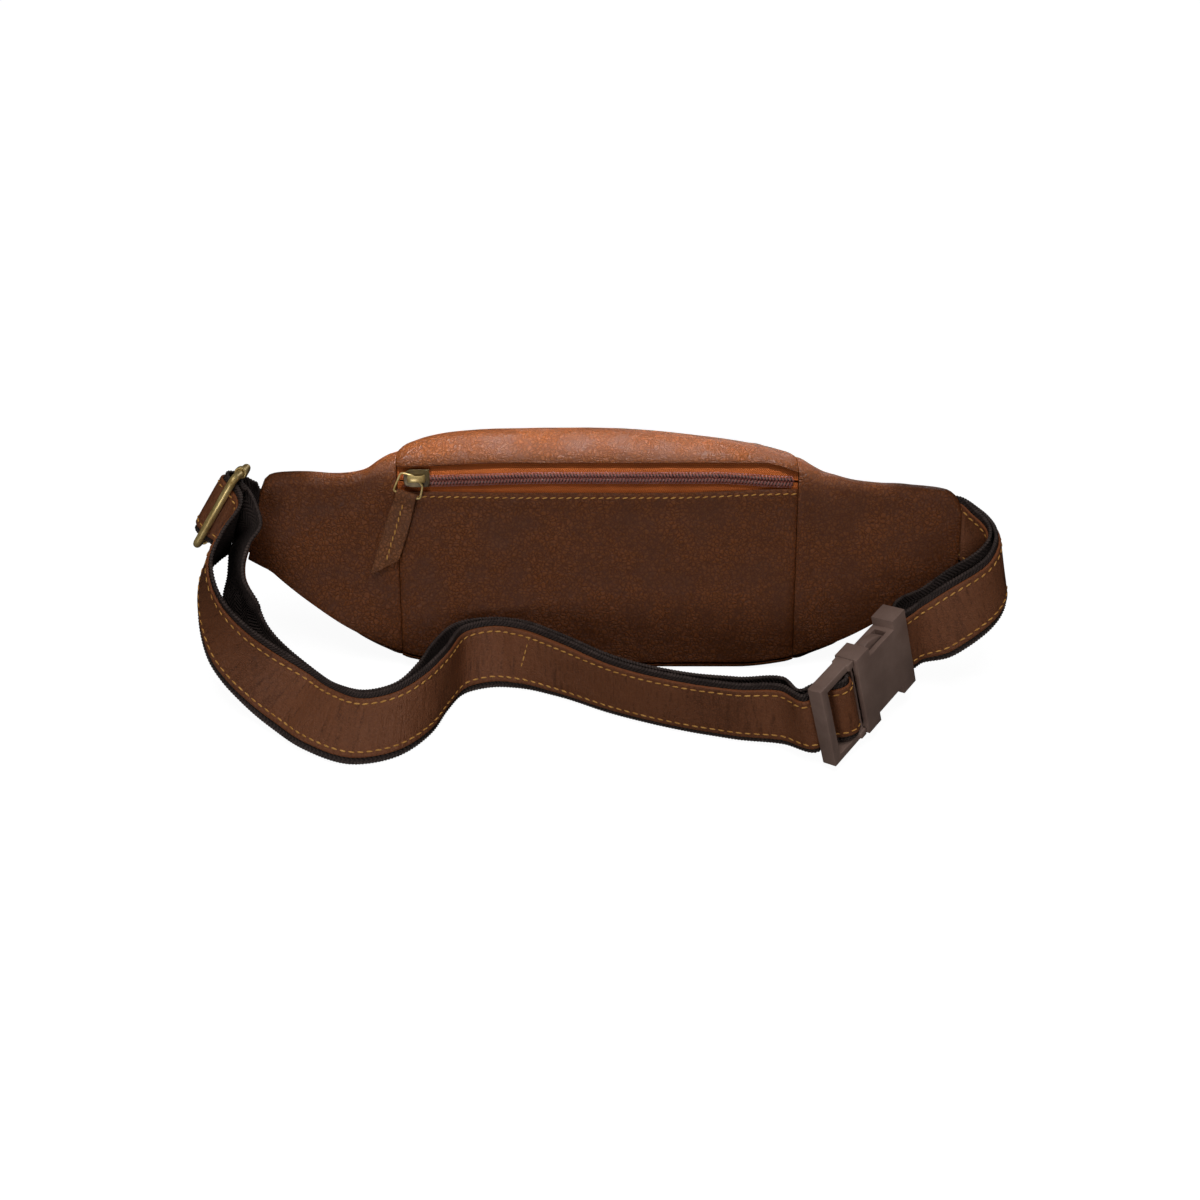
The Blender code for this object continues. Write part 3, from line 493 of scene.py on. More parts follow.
def mesh_object(name: str, verts: Sequence[Point], faces: Faces, material: bpy.types.Material,
                sharp: float = 40.0) -> bpy.types.Object:
    """Add a mesh object from points in millimetres.

    Args:
        name: object name.
        verts: points.
        faces: vertex index lists.
        material: finish.
        sharp: degrees between faces past which an edge looks sharp.
    Returns:
        The object, at the origin, facing out.
    """
    mesh = bpy.data.meshes.new(name)
    mesh.from_pydata([tuple(p) for p in to_metres(verts)], [], faces)
    work = bmesh.new()
    work.from_mesh(mesh)
    bmesh.ops.recalc_face_normals(work, faces=work.faces)
    work.to_mesh(mesh)
    work.free()
    mesh.materials.append(material)
    finish_shading(mesh, sharp)
    obj = bpy.data.objects.new(name, mesh)
    bpy.context.scene.collection.objects.link(obj)
    return obj


def finish_shading(mesh: bpy.types.Mesh, sharp: float) -> None:
    """Shade a mesh smooth, apart from edges sharper than the given degrees."""
    mesh.shade_smooth()
    mesh.set_sharp_from_angle(angle=math.radians(sharp))


def place(obj: bpy.types.Object, body: str, slot: str, *nodes: str) -> bpy.types.Object:
    """Let a piece ride on a body and stand for CAD nodes."""
    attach(obj, body)
    return stand_in(obj, slot, *nodes)


def stand_in(obj: bpy.types.Object, slot: str, *nodes: str) -> bpy.types.Object:
    """Let a piece stand for CAD nodes, whose parts it hides."""
    if nodes:
        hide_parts(*nodes)
    LOG.info("%s: %d faces", obj.name, len(obj.data.polygons))
    return obj


def soften(obj: bpy.types.Object, width: float, segments: int = 2, angle: float = 35.0) -> None:
    """Round the sharp edges of a mesh.

    Args:
        obj: object whose mesh changes.
        width: rounding in millimetres.
        segments: steps across a rounding.
        angle: degrees between faces past which an edge is rounded.
    """
    work = bmesh.new()
    work.from_mesh(obj.data)
    limit = math.radians(angle)
    edges = [e for e in work.edges if len(e.link_faces) == 2 and e.calc_face_angle(0.0) > limit]
    bmesh.ops.bevel(
        work, geom=edges, offset=width * MM, segments=segments, profile=0.5, affect="EDGES", clamp_overlap=True)
    bmesh.ops.recalc_face_normals(work, faces=work.faces)
    work.to_mesh(obj.data)
    work.free()
    finish_shading(obj.data, 50.0)


def closed_sheet(outer: np.ndarray, inner: np.ndarray) -> Tuple[List[Point], Faces]:
    """Return verts and faces of a closed sheet between two equal grids of points."""
    rows, cols = outer.shape[:2]
    verts = list(outer.reshape(-1, 3)) + list(inner.reshape(-1, 3))
    base = rows * cols
    faces: Faces = []
    for i in range(rows - 1):
        for j in range(cols - 1):
            a = i * cols + j
            c = a + cols
            faces.append((a, c, c + 1, a + 1))
            faces.append((base + a, base + a + 1, base + c + 1, base + c))
    rim = list(range(cols))
    rim += [i * cols + cols - 1 for i in range(1, rows)]
    rim += [(rows - 1) * cols + j for j in range(cols - 2, -1, -1)]
    rim += [i * cols for i in range(rows - 2, 0, -1)]
    for k, a in enumerate(rim):
        b = rim[(k + 1) % len(rim)]
        faces.append((a, b, base + b, base + a))
    return verts, faces


def tube(rings: Sequence[Sequence[Point]], closed: bool = False) -> Tuple[List[Point], Faces]:
    """Return verts and faces of a tube through equal rings of points."""
    count = len(rings[0])
    verts = [p for ring in rings for p in ring]
    faces: Faces = []
    last = len(rings) if closed else len(rings) - 1
    for i in range(last):
        a = i * count
        b = ((i + 1) % len(rings)) * count
        for j in range(count):
            k = (j + 1) % count
            faces.append((a + j, a + k, b + k, b + j))
    if not closed:
        end = (len(rings) - 1) * count
        faces.append(tuple(range(count - 1, -1, -1)))
        faces.append(tuple(range(end, end + count)))
    return verts, faces


def wire(path: Sequence[Point], radius: float, side: Point, sides: int = 12, closed: bool = False
         ) -> Tuple[List[Point], Faces]:
    """Return verts and faces of a round wire along a path; side is never along the path."""
    pts = [np.asarray(p, float) for p in path]
    rings = []
    for i, point in enumerate(pts):
        before = pts[i - 1] if closed or i > 0 else point
        after = pts[(i + 1) % len(pts)] if closed or i < len(pts) - 1 else point
        along = unit(after - before)
        across = unit(np.cross(along, side))
        other = np.cross(along, across)
        ring = []
        for k in range(sides):
            angle = 2.0 * math.pi * (k + 0.5) / sides
            ring.append(point + radius * (math.cos(angle) * across + math.sin(angle) * other))
        rings.append(ring)
    return tube(rings, closed)


def prism(outline: Sequence[Tuple[float, float]], low: float, high: float) -> Tuple[List[Point], Faces]:
    """Return verts and faces of an outline in x and y, between two z heights."""
    count = len(outline)
    verts = [vec(x, y, low) for x, y in outline] + [vec(x, y, high) for x, y in outline]
    faces: Faces = [tuple(range(count - 1, -1, -1)), tuple(range(count, 2 * count))]
    for i in range(count):
        j = (i + 1) % count
        faces.append((i, j, count + j, count + i))
    return verts, faces


def merged(*parts: Tuple[List[Point], Faces]) -> Tuple[List[Point], Faces]:
    """Return several shapes as one list of verts and faces."""
    verts: List[Point] = []
    faces: Faces = []
    for part_verts, part_faces in parts:
        base = len(verts)
        verts += list(part_verts)
        faces += [tuple(i + base for i in face) for face in part_faces]
    return verts, faces


@dataclass
class Repeater:
    """Small shapes set along lines by a Geometry Nodes tree.

    Attributes:
        kind: shape that repeats.
        size: its length, width and height in millimetres.
        spots: place, direction along the line and direction out of the surface.
    """

    kind: Repeat
    size: Tuple[float, float, float]
    spots: List[Tuple[Point, Point, Point]] = field(default_factory=list)

    def along(self, line: Sequence[Point], outs: Sequence[Point], pitch: float, slant: float = 0.0,
              start: float = 0.0) -> None:
        """Add evenly spaced spots on a line.

        Args:
            line: points of the line.
            outs: direction out of the surface at each point.
            pitch: distance between spots.
            slant: turn of each shape in the surface, as a share of its length.
            start: distance of the first spot from the line's start.
        """
        pts = np.array(line)
        ups = np.array(outs)
        steps = np.linalg.norm(np.diff(pts, axis=0), axis=1)
        reach = np.concatenate([[0.0], np.cumsum(steps)])
        count = int((reach[-1] - start) / pitch)
        for k in range(count + 1):
            at = start + k * pitch
            i = min(int(np.searchsorted(reach, at, side="right")) - 1, len(pts) - 2)
            share = (at - reach[i]) / max(steps[i], 1e-9)
            up = unit(ups[i] + (ups[i + 1] - ups[i]) * share)
            ahead = unit(pts[i + 1] - pts[i])
            ahead = unit(ahead + slant * np.cross(up, ahead))
            self.spots.append((pts[i] + (pts[i + 1] - pts[i]) * share, ahead, up))

    def shape(self, tree: bpy.types.NodeTree, entry: bpy.types.Node) -> Socket:
        """Add the nodes of the repeated shape and return its geometry.

        Args:
            tree: node tree.
            entry: the tree's input node.
        Returns:
            Output socket with the shape about its own origin.
        """
        scale = tree.nodes.new("ShaderNodeCombineXYZ")
        move = tree.nodes.new("GeometryNodeTransform")
        tree.links.new(scale.outputs[0], move.inputs["Scale"])
        tree.links.new(entry.outputs["Width"], scale.inputs[1])
        tree.links.new(entry.outputs["Height"], scale.inputs[2])
        if self.kind is Repeat.STITCH:
            ball = tree.nodes.new("GeometryNodeMeshUVSphere")
            ball.inputs["Segments"].default_value = 8
            ball.inputs["Rings"].default_value = 6
            ball.inputs["Radius"].default_value = 0.5
            lay = tree.nodes.new("GeometryNodeTransform")
            lay.inputs["Rotation"].default_value = (0.0, math.pi / 2.0, 0.0)
            tree.links.new(ball.outputs["Mesh"], lay.inputs["Geometry"])
            tree.links.new(entry.outputs["Length"], scale.inputs[0])
            tree.links.new(lay.outputs["Geometry"], move.inputs["Geometry"])
            return move.outputs["Geometry"]
        scale.inputs[0].default_value = 1.0
        loop = tree.nodes.new("GeometryNodeCurvePrimitiveCircle")
        loop.inputs["Resolution"].default_value = 12
        loop.inputs["Radius"].default_value = 0.5
        stand = tree.nodes.new("GeometryNodeTransform")
        stand.inputs["Rotation"].default_value = (0.0, math.pi / 2.0, 0.0)
        tree.links.new(loop.outputs["Curve"], stand.inputs["Geometry"])
        tree.links.new(stand.outputs["Geometry"], move.inputs["Geometry"])
        profile = tree.nodes.new("GeometryNodeCurvePrimitiveCircle")
        profile.inputs["Resolution"].default_value = 6
        half = tree.nodes.new("ShaderNodeMath")
        half.operation = "MULTIPLY"
        half.inputs[1].default_value = 0.5
        tree.links.new(entry.outputs["Length"], half.inputs[0])
        tree.links.new(half.outputs[0], profile.inputs["Radius"])
        sweep = tree.nodes.new("GeometryNodeCurveToMesh")
        tree.links.new(move.outputs["Geometry"], sweep.inputs["Curve"])
        tree.links.new(profile.outputs["Curve"], sweep.inputs["Profile Curve"])
        return sweep.outputs["Mesh"]

    def tree(self) -> bpy.types.NodeTree:
        """Return the node tree that sets the shape on each point."""
        tree = bpy.data.node_groups.new("set_" + self.kind.value, "GeometryNodeTree")
        face = tree.interface
        face.new_socket("Points", in_out="INPUT", socket_type="NodeSocketGeometry")
        for label in ("Length", "Width", "Height"):
            face.new_socket(label, in_out="INPUT", socket_type="NodeSocketFloat")
        face.new_socket("Finish", in_out="INPUT", socket_type="NodeSocketMaterial")
        face.new_socket("Shapes", in_out="OUTPUT", socket_type="NodeSocketGeometry")
        entry = tree.nodes.new("NodeGroupInput")
        leave = tree.nodes.new("NodeGroupOutput")
        turn = None
        for label, axis, pivot in (("up", "Z", "AUTO"), ("along", "X", "Z")):
            stored = tree.nodes.new("GeometryNodeInputNamedAttribute")
            stored.data_type = "FLOAT_VECTOR"
            stored.inputs["Name"].default_value = label
            align = tree.nodes.new("FunctionNodeAlignRotationToVector")
            align.axis = axis
            align.pivot_axis = pivot
            tree.links.new(stored.outputs["Attribute"], align.inputs["Vector"])
            if turn is not None:
                tree.links.new(turn, align.inputs["Rotation"])
            turn = align.outputs["Rotation"]
        copies = tree.nodes.new("GeometryNodeInstanceOnPoints")
        tree.links.new(entry.outputs["Points"], copies.inputs["Points"])
        tree.links.new(self.shape(tree, entry), copies.inputs["Instance"])
        tree.links.new(turn, copies.inputs["Rotation"])
        real = tree.nodes.new("GeometryNodeRealizeInstances")
        dress = tree.nodes.new("GeometryNodeSetMaterial")
        tree.links.new(copies.outputs["Instances"], real.inputs["Geometry"])
        tree.links.new(real.outputs["Geometry"], dress.inputs["Geometry"])
        tree.links.new(entry.outputs["Finish"], dress.inputs["Material"])
        tree.links.new(dress.outputs["Geometry"], leave.inputs["Shapes"])
        return tree

    def build(self, name: str, material: bpy.types.Material) -> bpy.types.Object:
        """Return one mesh object with every shape.

        Args:
            name: object name.
            material: finish.
        Returns:
            The object, at the origin, with no modifier.
        """
        cloud = bpy.data.meshes.new(name + "_points")
        cloud.from_pydata([tuple(p) for p in to_metres([s[0] for s in self.spots])], [], [])
        for label, k in (("along", 1), ("up", 2)):
            stored = cloud.attributes.new(label, "FLOAT_VECTOR", "POINT")
            stored.data.foreach_set("vector", np.array([s[k] for s in self.spots], np.float32).ravel())
        carrier = bpy.data.objects.new(name + "_points", cloud)
        bpy.context.scene.collection.objects.link(carrier)
        tree = self.tree()
        modifier = carrier.modifiers.new("set", "NODES")
        modifier.node_group = tree
        values = dict(zip(("Length", "Width", "Height"), (v * MM for v in self.size)))
        values["Finish"] = material
        for item in tree.interface.items_tree:
            if item.item_type == "SOCKET" and item.in_out == "INPUT" and item.name in values:
                modifier[item.identifier] = values[item.name]
        view = bpy.context.evaluated_depsgraph_get()
        mesh = bpy.data.meshes.new_from_object(carrier.evaluated_get(view))
        bpy.data.objects.remove(carrier, do_unlink=True)
        mesh.name = name
        mesh.shade_smooth()
        obj = bpy.data.objects.new(name, mesh)
        bpy.context.scene.collection.objects.link(obj)
        return obj


def rear_point(x: float, s: float, b: float) -> Point:
    """Return the point at height s up the rear plane and depth b behind it."""
    y = s * math.sin(REAR_LEAN) + b * math.cos(REAR_LEAN)
    z = s * math.cos(REAR_LEAN) - b * math.sin(REAR_LEAN)
    return vec(x, y, z)


SECTION_S = (3.5, 118.5, 133.5, 134.1, 122.4, 110.7, 99.0, 70.2, 46.2, 33.4, 2.5)
SECTION_B = (0.0, 0.0, 8.35, 21.3, 40.0, 50.45, 60.9, 74.8, 77.8, 71.6, 5.4)
TIP_SHARE = (0.02, 0.88, 0.985, 1.0, 0.96, 0.88, 0.74, 0.5, 0.26, 0.07, 0.01)
TIP_B = (0.0, 0.0, 3.0, 7.6, 10.2, 11.0, 11.2, 11.2, 10.9, 9.2, 3.0)
RIDGE_LINE = (
    (-190.0, 107.0), (-185.0, 109.3), (-178.0, 111.2), (-167.0, 111.8), (-146.0, 111.0), (-133.0, 112.5),
    (-125.0, 115.6), (-114.0, 121.5), (-106.0, 126.0), (-97.0, 129.2), (-83.0, 131.8), (-60.0, 133.4),
    (-20.0, 134.1), (10.0, 133.6), (32.0, 132.2), (61.0, 129.0), (79.0, 126.2), (94.0, 123.2),
    (105.0, 119.6), (118.0, 113.4), (131.0, 109.2), (151.0, 106.2), (169.0, 104.6), (182.0, 103.2),
    (193.0, 101.0), (198.0, 100.2), (201.0, 99.6),
)


@dataclass
class PackForm:
    """The shell's outer form: one section that changes along the pack."""

    ridge: float = 134.1
    yoke_bend: float = 118.5
    base_flat: float = 76.0
    yoke_low: float = 117.2
    tip_slant: float = 8.5
    left_end: float = -188.0

    def bottom(self, x: float) -> float:
        """Return the height of the lower edge at x."""
        tip, far = (66.0, 194.0) if x < 0 else (61.0, 199.0)
        reach = min(abs(x), 184.0)
        curve = tip * max(0.0, (reach - self.base_flat) / (far - self.base_flat)) ** 1.9
        return curve + (0.55 if x < 0 else 0.5) * (abs(x) - reach)

    def top(self, x: float) -> float:
        """Return the height of the top edge at x."""
        rows = RIDGE_LINE
        x = max(x, self.left_end)
        i = 1
        while i < len(rows) - 2 and rows[i + 1][0] < x:
            i += 1
        i = min(max(i, 1), len(rows) - 3)
        x0, x1 = rows[i][0], rows[i + 1][0]
        slope0 = (rows[i + 1][1] - rows[i - 1][1]) / (x1 - rows[i - 1][0])
        slope1 = (rows[i + 2][1] - rows[i][1]) / (rows[i + 2][0] - x0)
        t = (x - x0) / (x1 - x0)
        h2 = t ** 3 - 2.0 * t ** 2 + t
        h4 = t ** 3 - t ** 2
        mix = smooth(t) if 0.0 <= t <= 1.0 else t
        line = rows[i][1] + (rows[i + 1][1] - rows[i][1]) * mix + (h2 * slope0 + h4 * slope1) * (x1 - x0)
        end, radius = (188.6, 7.0) if x < 0 else (198.2, 9.0)
        past = min(max(0.0, abs(x) - end + radius), radius)
        return line - radius + math.sqrt(radius * radius - past * past)

    def controls(self, x: float) -> List[Point]:
        """Return the section's control points at x as rows of (s, b)."""
        low = self.bottom(x)
        top = self.top(x)
        depth = 1.0 - 0.86 * smooth((abs(x) - 95.0) / 62.0)
        to_tip = smooth((abs(x) - 112.0) / 50.0)
        front = self.ridge + (top - self.ridge) * smooth((abs(x) - 86.0) / 22.0)
        rows = []
        for i, (s, b) in enumerate(zip(SECTION_S, SECTION_B)):
            height = (top if i in (2, 3) else front) - low
            body_s = low + s * height / self.ridge
            tip_s = low + TIP_SHARE[i] * (top - low)
            rows.append(vec(body_s + (tip_s - body_s) * to_tip, b * depth + (TIP_B[i] - b * depth) * to_tip))
        rows[1][0] = min(self.yoke_bend, top - 6.0)
        return rows

    def section(self, rows: List[Point], v: float) -> Point:
        """Return (s, b) at section position v; whole values are control points."""
        if v <= 1.0:
            return rows[0] + (rows[1] - rows[0]) * v
        if v < 9.0:
            i = min(int(v), 8)
            before = rows[1] + (rows[0] - rows[1]) * 0.13 if i == 1 else rows[i - 1]
            after = rows[9] + (rows[10] - rows[9]) * 0.25 if i == 8 else rows[i + 2]
            return spline_point(before, rows[i], rows[i + 1], after, v - i)
        if v <= 10.0:
            return rows[9] + (rows[10] - rows[9]) * (v - 9.0)
        corner = vec(min(rows[0][0], rows[10][0]) - 2.0, 0.0)
        t = v - 10.0
        return (1 - t) ** 2 * rows[10] + 2 * t * (1 - t) * corner + t * t * rows[0]

    def point(self, x: float, v: float, rows: Optional[List[Point]] = None) -> Point:
        """Return the outer surface at x and section position v."""
        lower = 1.0 - v if v < 2.0 else smooth((v - 3.0) / 6.0)
        lean = self.tip_slant * max(0.0, lower) * smooth((-150.0 - x) / 38.0)
        if lean > 0.0:
            x -= lean
            rows = None
        s, b = self.section(rows or self.controls(x), v)
        point = rear_point(x, s, b)
        point[2] = max(point[2], 0.0)
        return point

    def normal(self, x: float, v: float, rows: Optional[List[Point]] = None) -> Point:
        """Return the outward direction of the section at x and v."""
        rows = rows or self.controls(x)
        step = self.point(x, v + 0.02, rows) - self.point(x, v - 0.02, rows)
        return unit(vec(0.0, -step[2], step[1]))

    def rear_v(self, x: float, s: float) -> float:
        """Return the section position of height s on the rear plane."""
        rows = self.controls(x)
        return (s - rows[0][0]) / (rows[1][0] - rows[0][0])

    def yoke_edge(self, x: float) -> float:
        """Return the height of the yoke's lower edge on the rear plane."""
        return min(self.yoke_low - 2.1 * smooth((-55.0 - x) / 55.0), self.controls(x)[1][0] - 0.8)

    def yoke_start(self, x: float) -> float:
        """Return the section position of the yoke's lower edge."""
        return self.rear_v(x, self.yoke_edge(x))


@dataclass
class Shell:
    """The sewn leather panels."""

    form: PackForm
    wardrobe: Wardrobe
    leather: float = 1.6
    hem_top: float = 100.8
    left_tip: float = -188.0
    right_tip: float = 197.5
    seam_gap: float = 0.04
    zip_end: float = 86.5
    grid: float = 2.3
    stitch_pitch: float = 4.4

    def pocket_top(self, x: float) -> float:
        """Return the height of the pocket's hem, which rises towards the right seam."""
        return self.hem_top + 2.2 * smooth((x - 35.0) / 70.0) + 0.7 * smooth((-40.0 - x) / 60.0)

    def ridge_seam(self, x: float) -> float:
        """Return the section position of the seam along the top, which drifts back to the right."""
        return 2.98 - 0.34 * smooth((45.0 - x) / 150.0)

    def relief(self, x: float, v: float, point: Point) -> float:
        """Return how far the leather stands out of the plain form, in millimetres.

        Args:
            x: place along the pack.
            v: section position.
            point: the plain form's point.
        Returns:
            Offset along the outward direction.
        """
        seam = min(abs(x - LEFT_SEAM_X), abs(x - RIGHT_SEAM_X))
        zip_window = 1.0
        if v < 1.0:
            s = point[1] * math.sin(REAR_LEAN) + point[2] * math.cos(REAR_LEAN)
            if LEFT_SEAM_X < x < RIGHT_SEAM_X:
                zip_window = 1.0 - smooth((s - 84.0) / 10.0)
        soft = 0.75 * ripple(point, 42.0) + 0.3 * ripple(point, 16.0, 7.3) + 0.1 * ripple(point, 6.5, 3.1)
        calm = 0.45 if v > 1.0 and LEFT_SEAM_X < x < RIGHT_SEAM_X else 1.0
        out = soft * (0.25 + 0.75 * zip_window) * calm
        if x < LEFT_SEAM_X or x > RIGHT_SEAM_X:
            out += 0.6 * ripple(point, 27.0, 11.0)
            fold = math.sin(point[2] / 5.2 + 0.14 * x)
            out += 0.4 * fold * bell(seam - 9.0, 9.0) * bell(v - 2.4, 1.6)
            if v < 1.6:
                reach = math.hypot(seam, 112.0 - point[2] / math.cos(REAR_LEAN))
                turn = math.atan2(112.0 - point[2] / math.cos(REAR_LEAN), seam)
                out += 0.75 * math.sin(8.0 * turn + 0.9) * bell(reach - 34.0, 26.0)
        out -= (0.75 if v < 1.1 else 0.35) * bell(seam, 1.3)
        out += 0.4 * bell(seam - 4.5, 3.0) * (0.4 + 0.6 * zip_window)
        out += 0.22 * math.sin(2.0 * math.pi * (point[2] + 0.6 * point[1]) / 8.5) * bell(seam, 5.0) * zip_window
        out += 0.8 * bell(x + 120.5, 5.2) * bell(v - 2.35, 0.75)
        out -= 1.0 * bell(x + 129.5, 3.4) * bell(v - 2.2, 0.7)
        out += 0.5 * bell(x - 115.0, 6.0) * bell(v - 2.3, 0.7)
        out -= 0.9 * bell(x - 123.0, 4.0) * bell(v - 2.2, 0.6)
        return out

    def panel(self, name: str, xs: Tuple[float, float], start: Callable[[float], float],
              end: Callable[[float], float], length: float, turned: Tuple[float, float] = (0.0, 0.0),
              level: bool = False) -> bpy.types.Object:
        """Build one panel between two section positions that depend on x.

        Args:
            name: piece name.
            xs: first and last place along the pack.
            start: section position of the first edge.
            end: section position of the last edge.
            length: rough length across the panel, which sets its grid.
            turned: extra height of a turned hem on the first and last edge.
            level: keep the plain form where it rests.
        Returns:
            The panel.
        """
        count = max(6, int(abs(xs[1] - xs[0]) / self.grid))
        rows = max(4, int(length / self.grid))
        outer = np.zeros((count + 1, rows + 1, 3))
        inner = np.zeros_like(outer)
        for i in range(count + 1):
            x = xs[0] + (xs[1] - xs[0]) * i / count
            ctrl = self.form.controls(x)
            v0, v1 = start(x), end(x)
            for k in range(rows + 1):
                v = v0 + (v1 - v0) * k / rows
                plain = self.form.point(x, v, ctrl)
                normal = self.form.normal(x, v, ctrl)
                lift = self.relief(x, v, plain)
                if level:
                    lift *= smooth((plain[2] - 1.0) / 8.0)
                lift += turned[0] * (1.0 - smooth((k / rows * length - 6.0) / 2.5))
                lift += turned[1] * (1.0 - smooth(((1.0 - k / rows) * length - 6.0) / 2.5))
                outer[i, k] = plain + normal * lift
                inner[i, k] = plain - normal * self.leather + normal * min(lift, 0.0)
        outer[:, :, 2] = np.maximum(outer[:, :, 2], 0.0)
        inner[:, :, 2] = np.maximum(inner[:, :, 2], 0.02)
        verts, faces = closed_sheet(outer, inner)
        obj = mesh_object(name, verts, faces, self.wardrobe.shell)
        soften(obj, 0.55, 2, 50.0)
        return obj

    def build(self) -> None:
        """Build every panel and the pocket's stitching."""
        f = self.form
        first = LEFT_SEAM_X + self.seam_gap
        last = RIGHT_SEAM_X - self.seam_gap
        pieces = [
            ("rear_pocket_panel", (first, last), lambda x: 0.006, lambda x: f.rear_v(x, self.pocket_top(x)), 97.0,
             (0.0, 0.5)),
            ("rear_yoke", (first, last), f.yoke_start, self.ridge_seam, 34.0, (0.5, 0.35)),
            ("top_panel", (first, last), lambda x: self.ridge_seam(x) + 0.02,
             lambda x: 4.46 if abs(x) <= self.zip_end else 4.99, 30.0, (-0.5, 0.4)),
            ("front_panel", (first, last), lambda x: 5.54 if abs(x) <= self.zip_end else 5.005, lambda x: 9.2, 92.0,
             (0.4, 0.0)),
            ("base_panel", (first, last), lambda x: 9.215, lambda x: 10.96, 66.0, (0.0, 0.0)),
        ]
        for side, seam, tip in (
                ("left", LEFT_SEAM_X - self.seam_gap, self.left_tip),
                ("right", RIGHT_SEAM_X + self.seam_gap, self.right_tip)):
            pieces.append((
                side + "_wing_rear", (seam, tip), lambda x: 0.008, lambda x: 2.34, 100.0, (0.0, 0.0)))
            pieces.append((
                side + "_wing_front", (seam, tip), lambda x: 2.37, self.wing_end, 120.0, (0.0, 0.0)))
        for name, xs, start, end, length, turned in pieces:
            obj = self.panel(name + "_leather", xs, start, end, length, turned, name == "base_panel")
            place(obj, PACK_BODY, "leather", name)
        self.stitch()

    def wing_end(self, x: float) -> float:
        """Return where a wing's front panel meets its rear panel below."""
        seam = -LEFT_SEAM_X if x < 0 else RIGHT_SEAM_X
        return 9.95 + 0.35 * (1.0 - smooth((abs(x) - seam) / 30.0))

    def stitch(self) -> None:
        """Sew the pocket's turned hem and the hems beside the main zip."""
        rows = Repeater(Repeat.STITCH, (3.0, 0.8, 0.6))
        lines = [(lambda x: self.form.rear_v(x, self.pocket_top(x) - 2.7), (-110.5, 106.5), 0.6)]
        lines.append((lambda x: 4.46 - 0.16, (-84.0, 84.0), 0.55))
        lines.append((lambda x: 5.54 + 0.16, (-84.0, 84.0), 0.55))
        for at, xs, lift in lines:
            line = []
            outs = []
            for x in np.arange(xs[0], xs[1], 2.0):
                v = at(x)
                plain = self.form.point(x, v)
                normal = self.form.normal(x, v)
                line.append(plain + normal * (self.relief(x, v, plain) + lift))
                outs.append(normal)
            rows.along(line, outs, self.stitch_pitch, 0.22)
        place(rows.build("pocket_hem_stitches", self.wardrobe.thread), PACK_BODY, "leather")


RING_CORNERS = ((-8.4, 3.5), (-2.2, 1.9), (3.3, -3.6), (1.55, -11.25), (-12.9, -6.45))


def rounded_loop(corners: Sequence[Tuple[float, float]], radius: float) -> List[Point]:
    """Return a closed path round some corners, each cut back by the radius and curved."""
    out = []
    for i, corner in enumerate(corners):
        here = vec(*corner)
        before = unit(vec(*corners[i - 1]) - here) * radius
        after = unit(vec(*corners[(i + 1) % len(corners)]) - here) * radius
        for k in range(7):
            t = k / 6.0
            out.append(here + (1.0 - t) ** 2 * before + t * t * after)
    return out


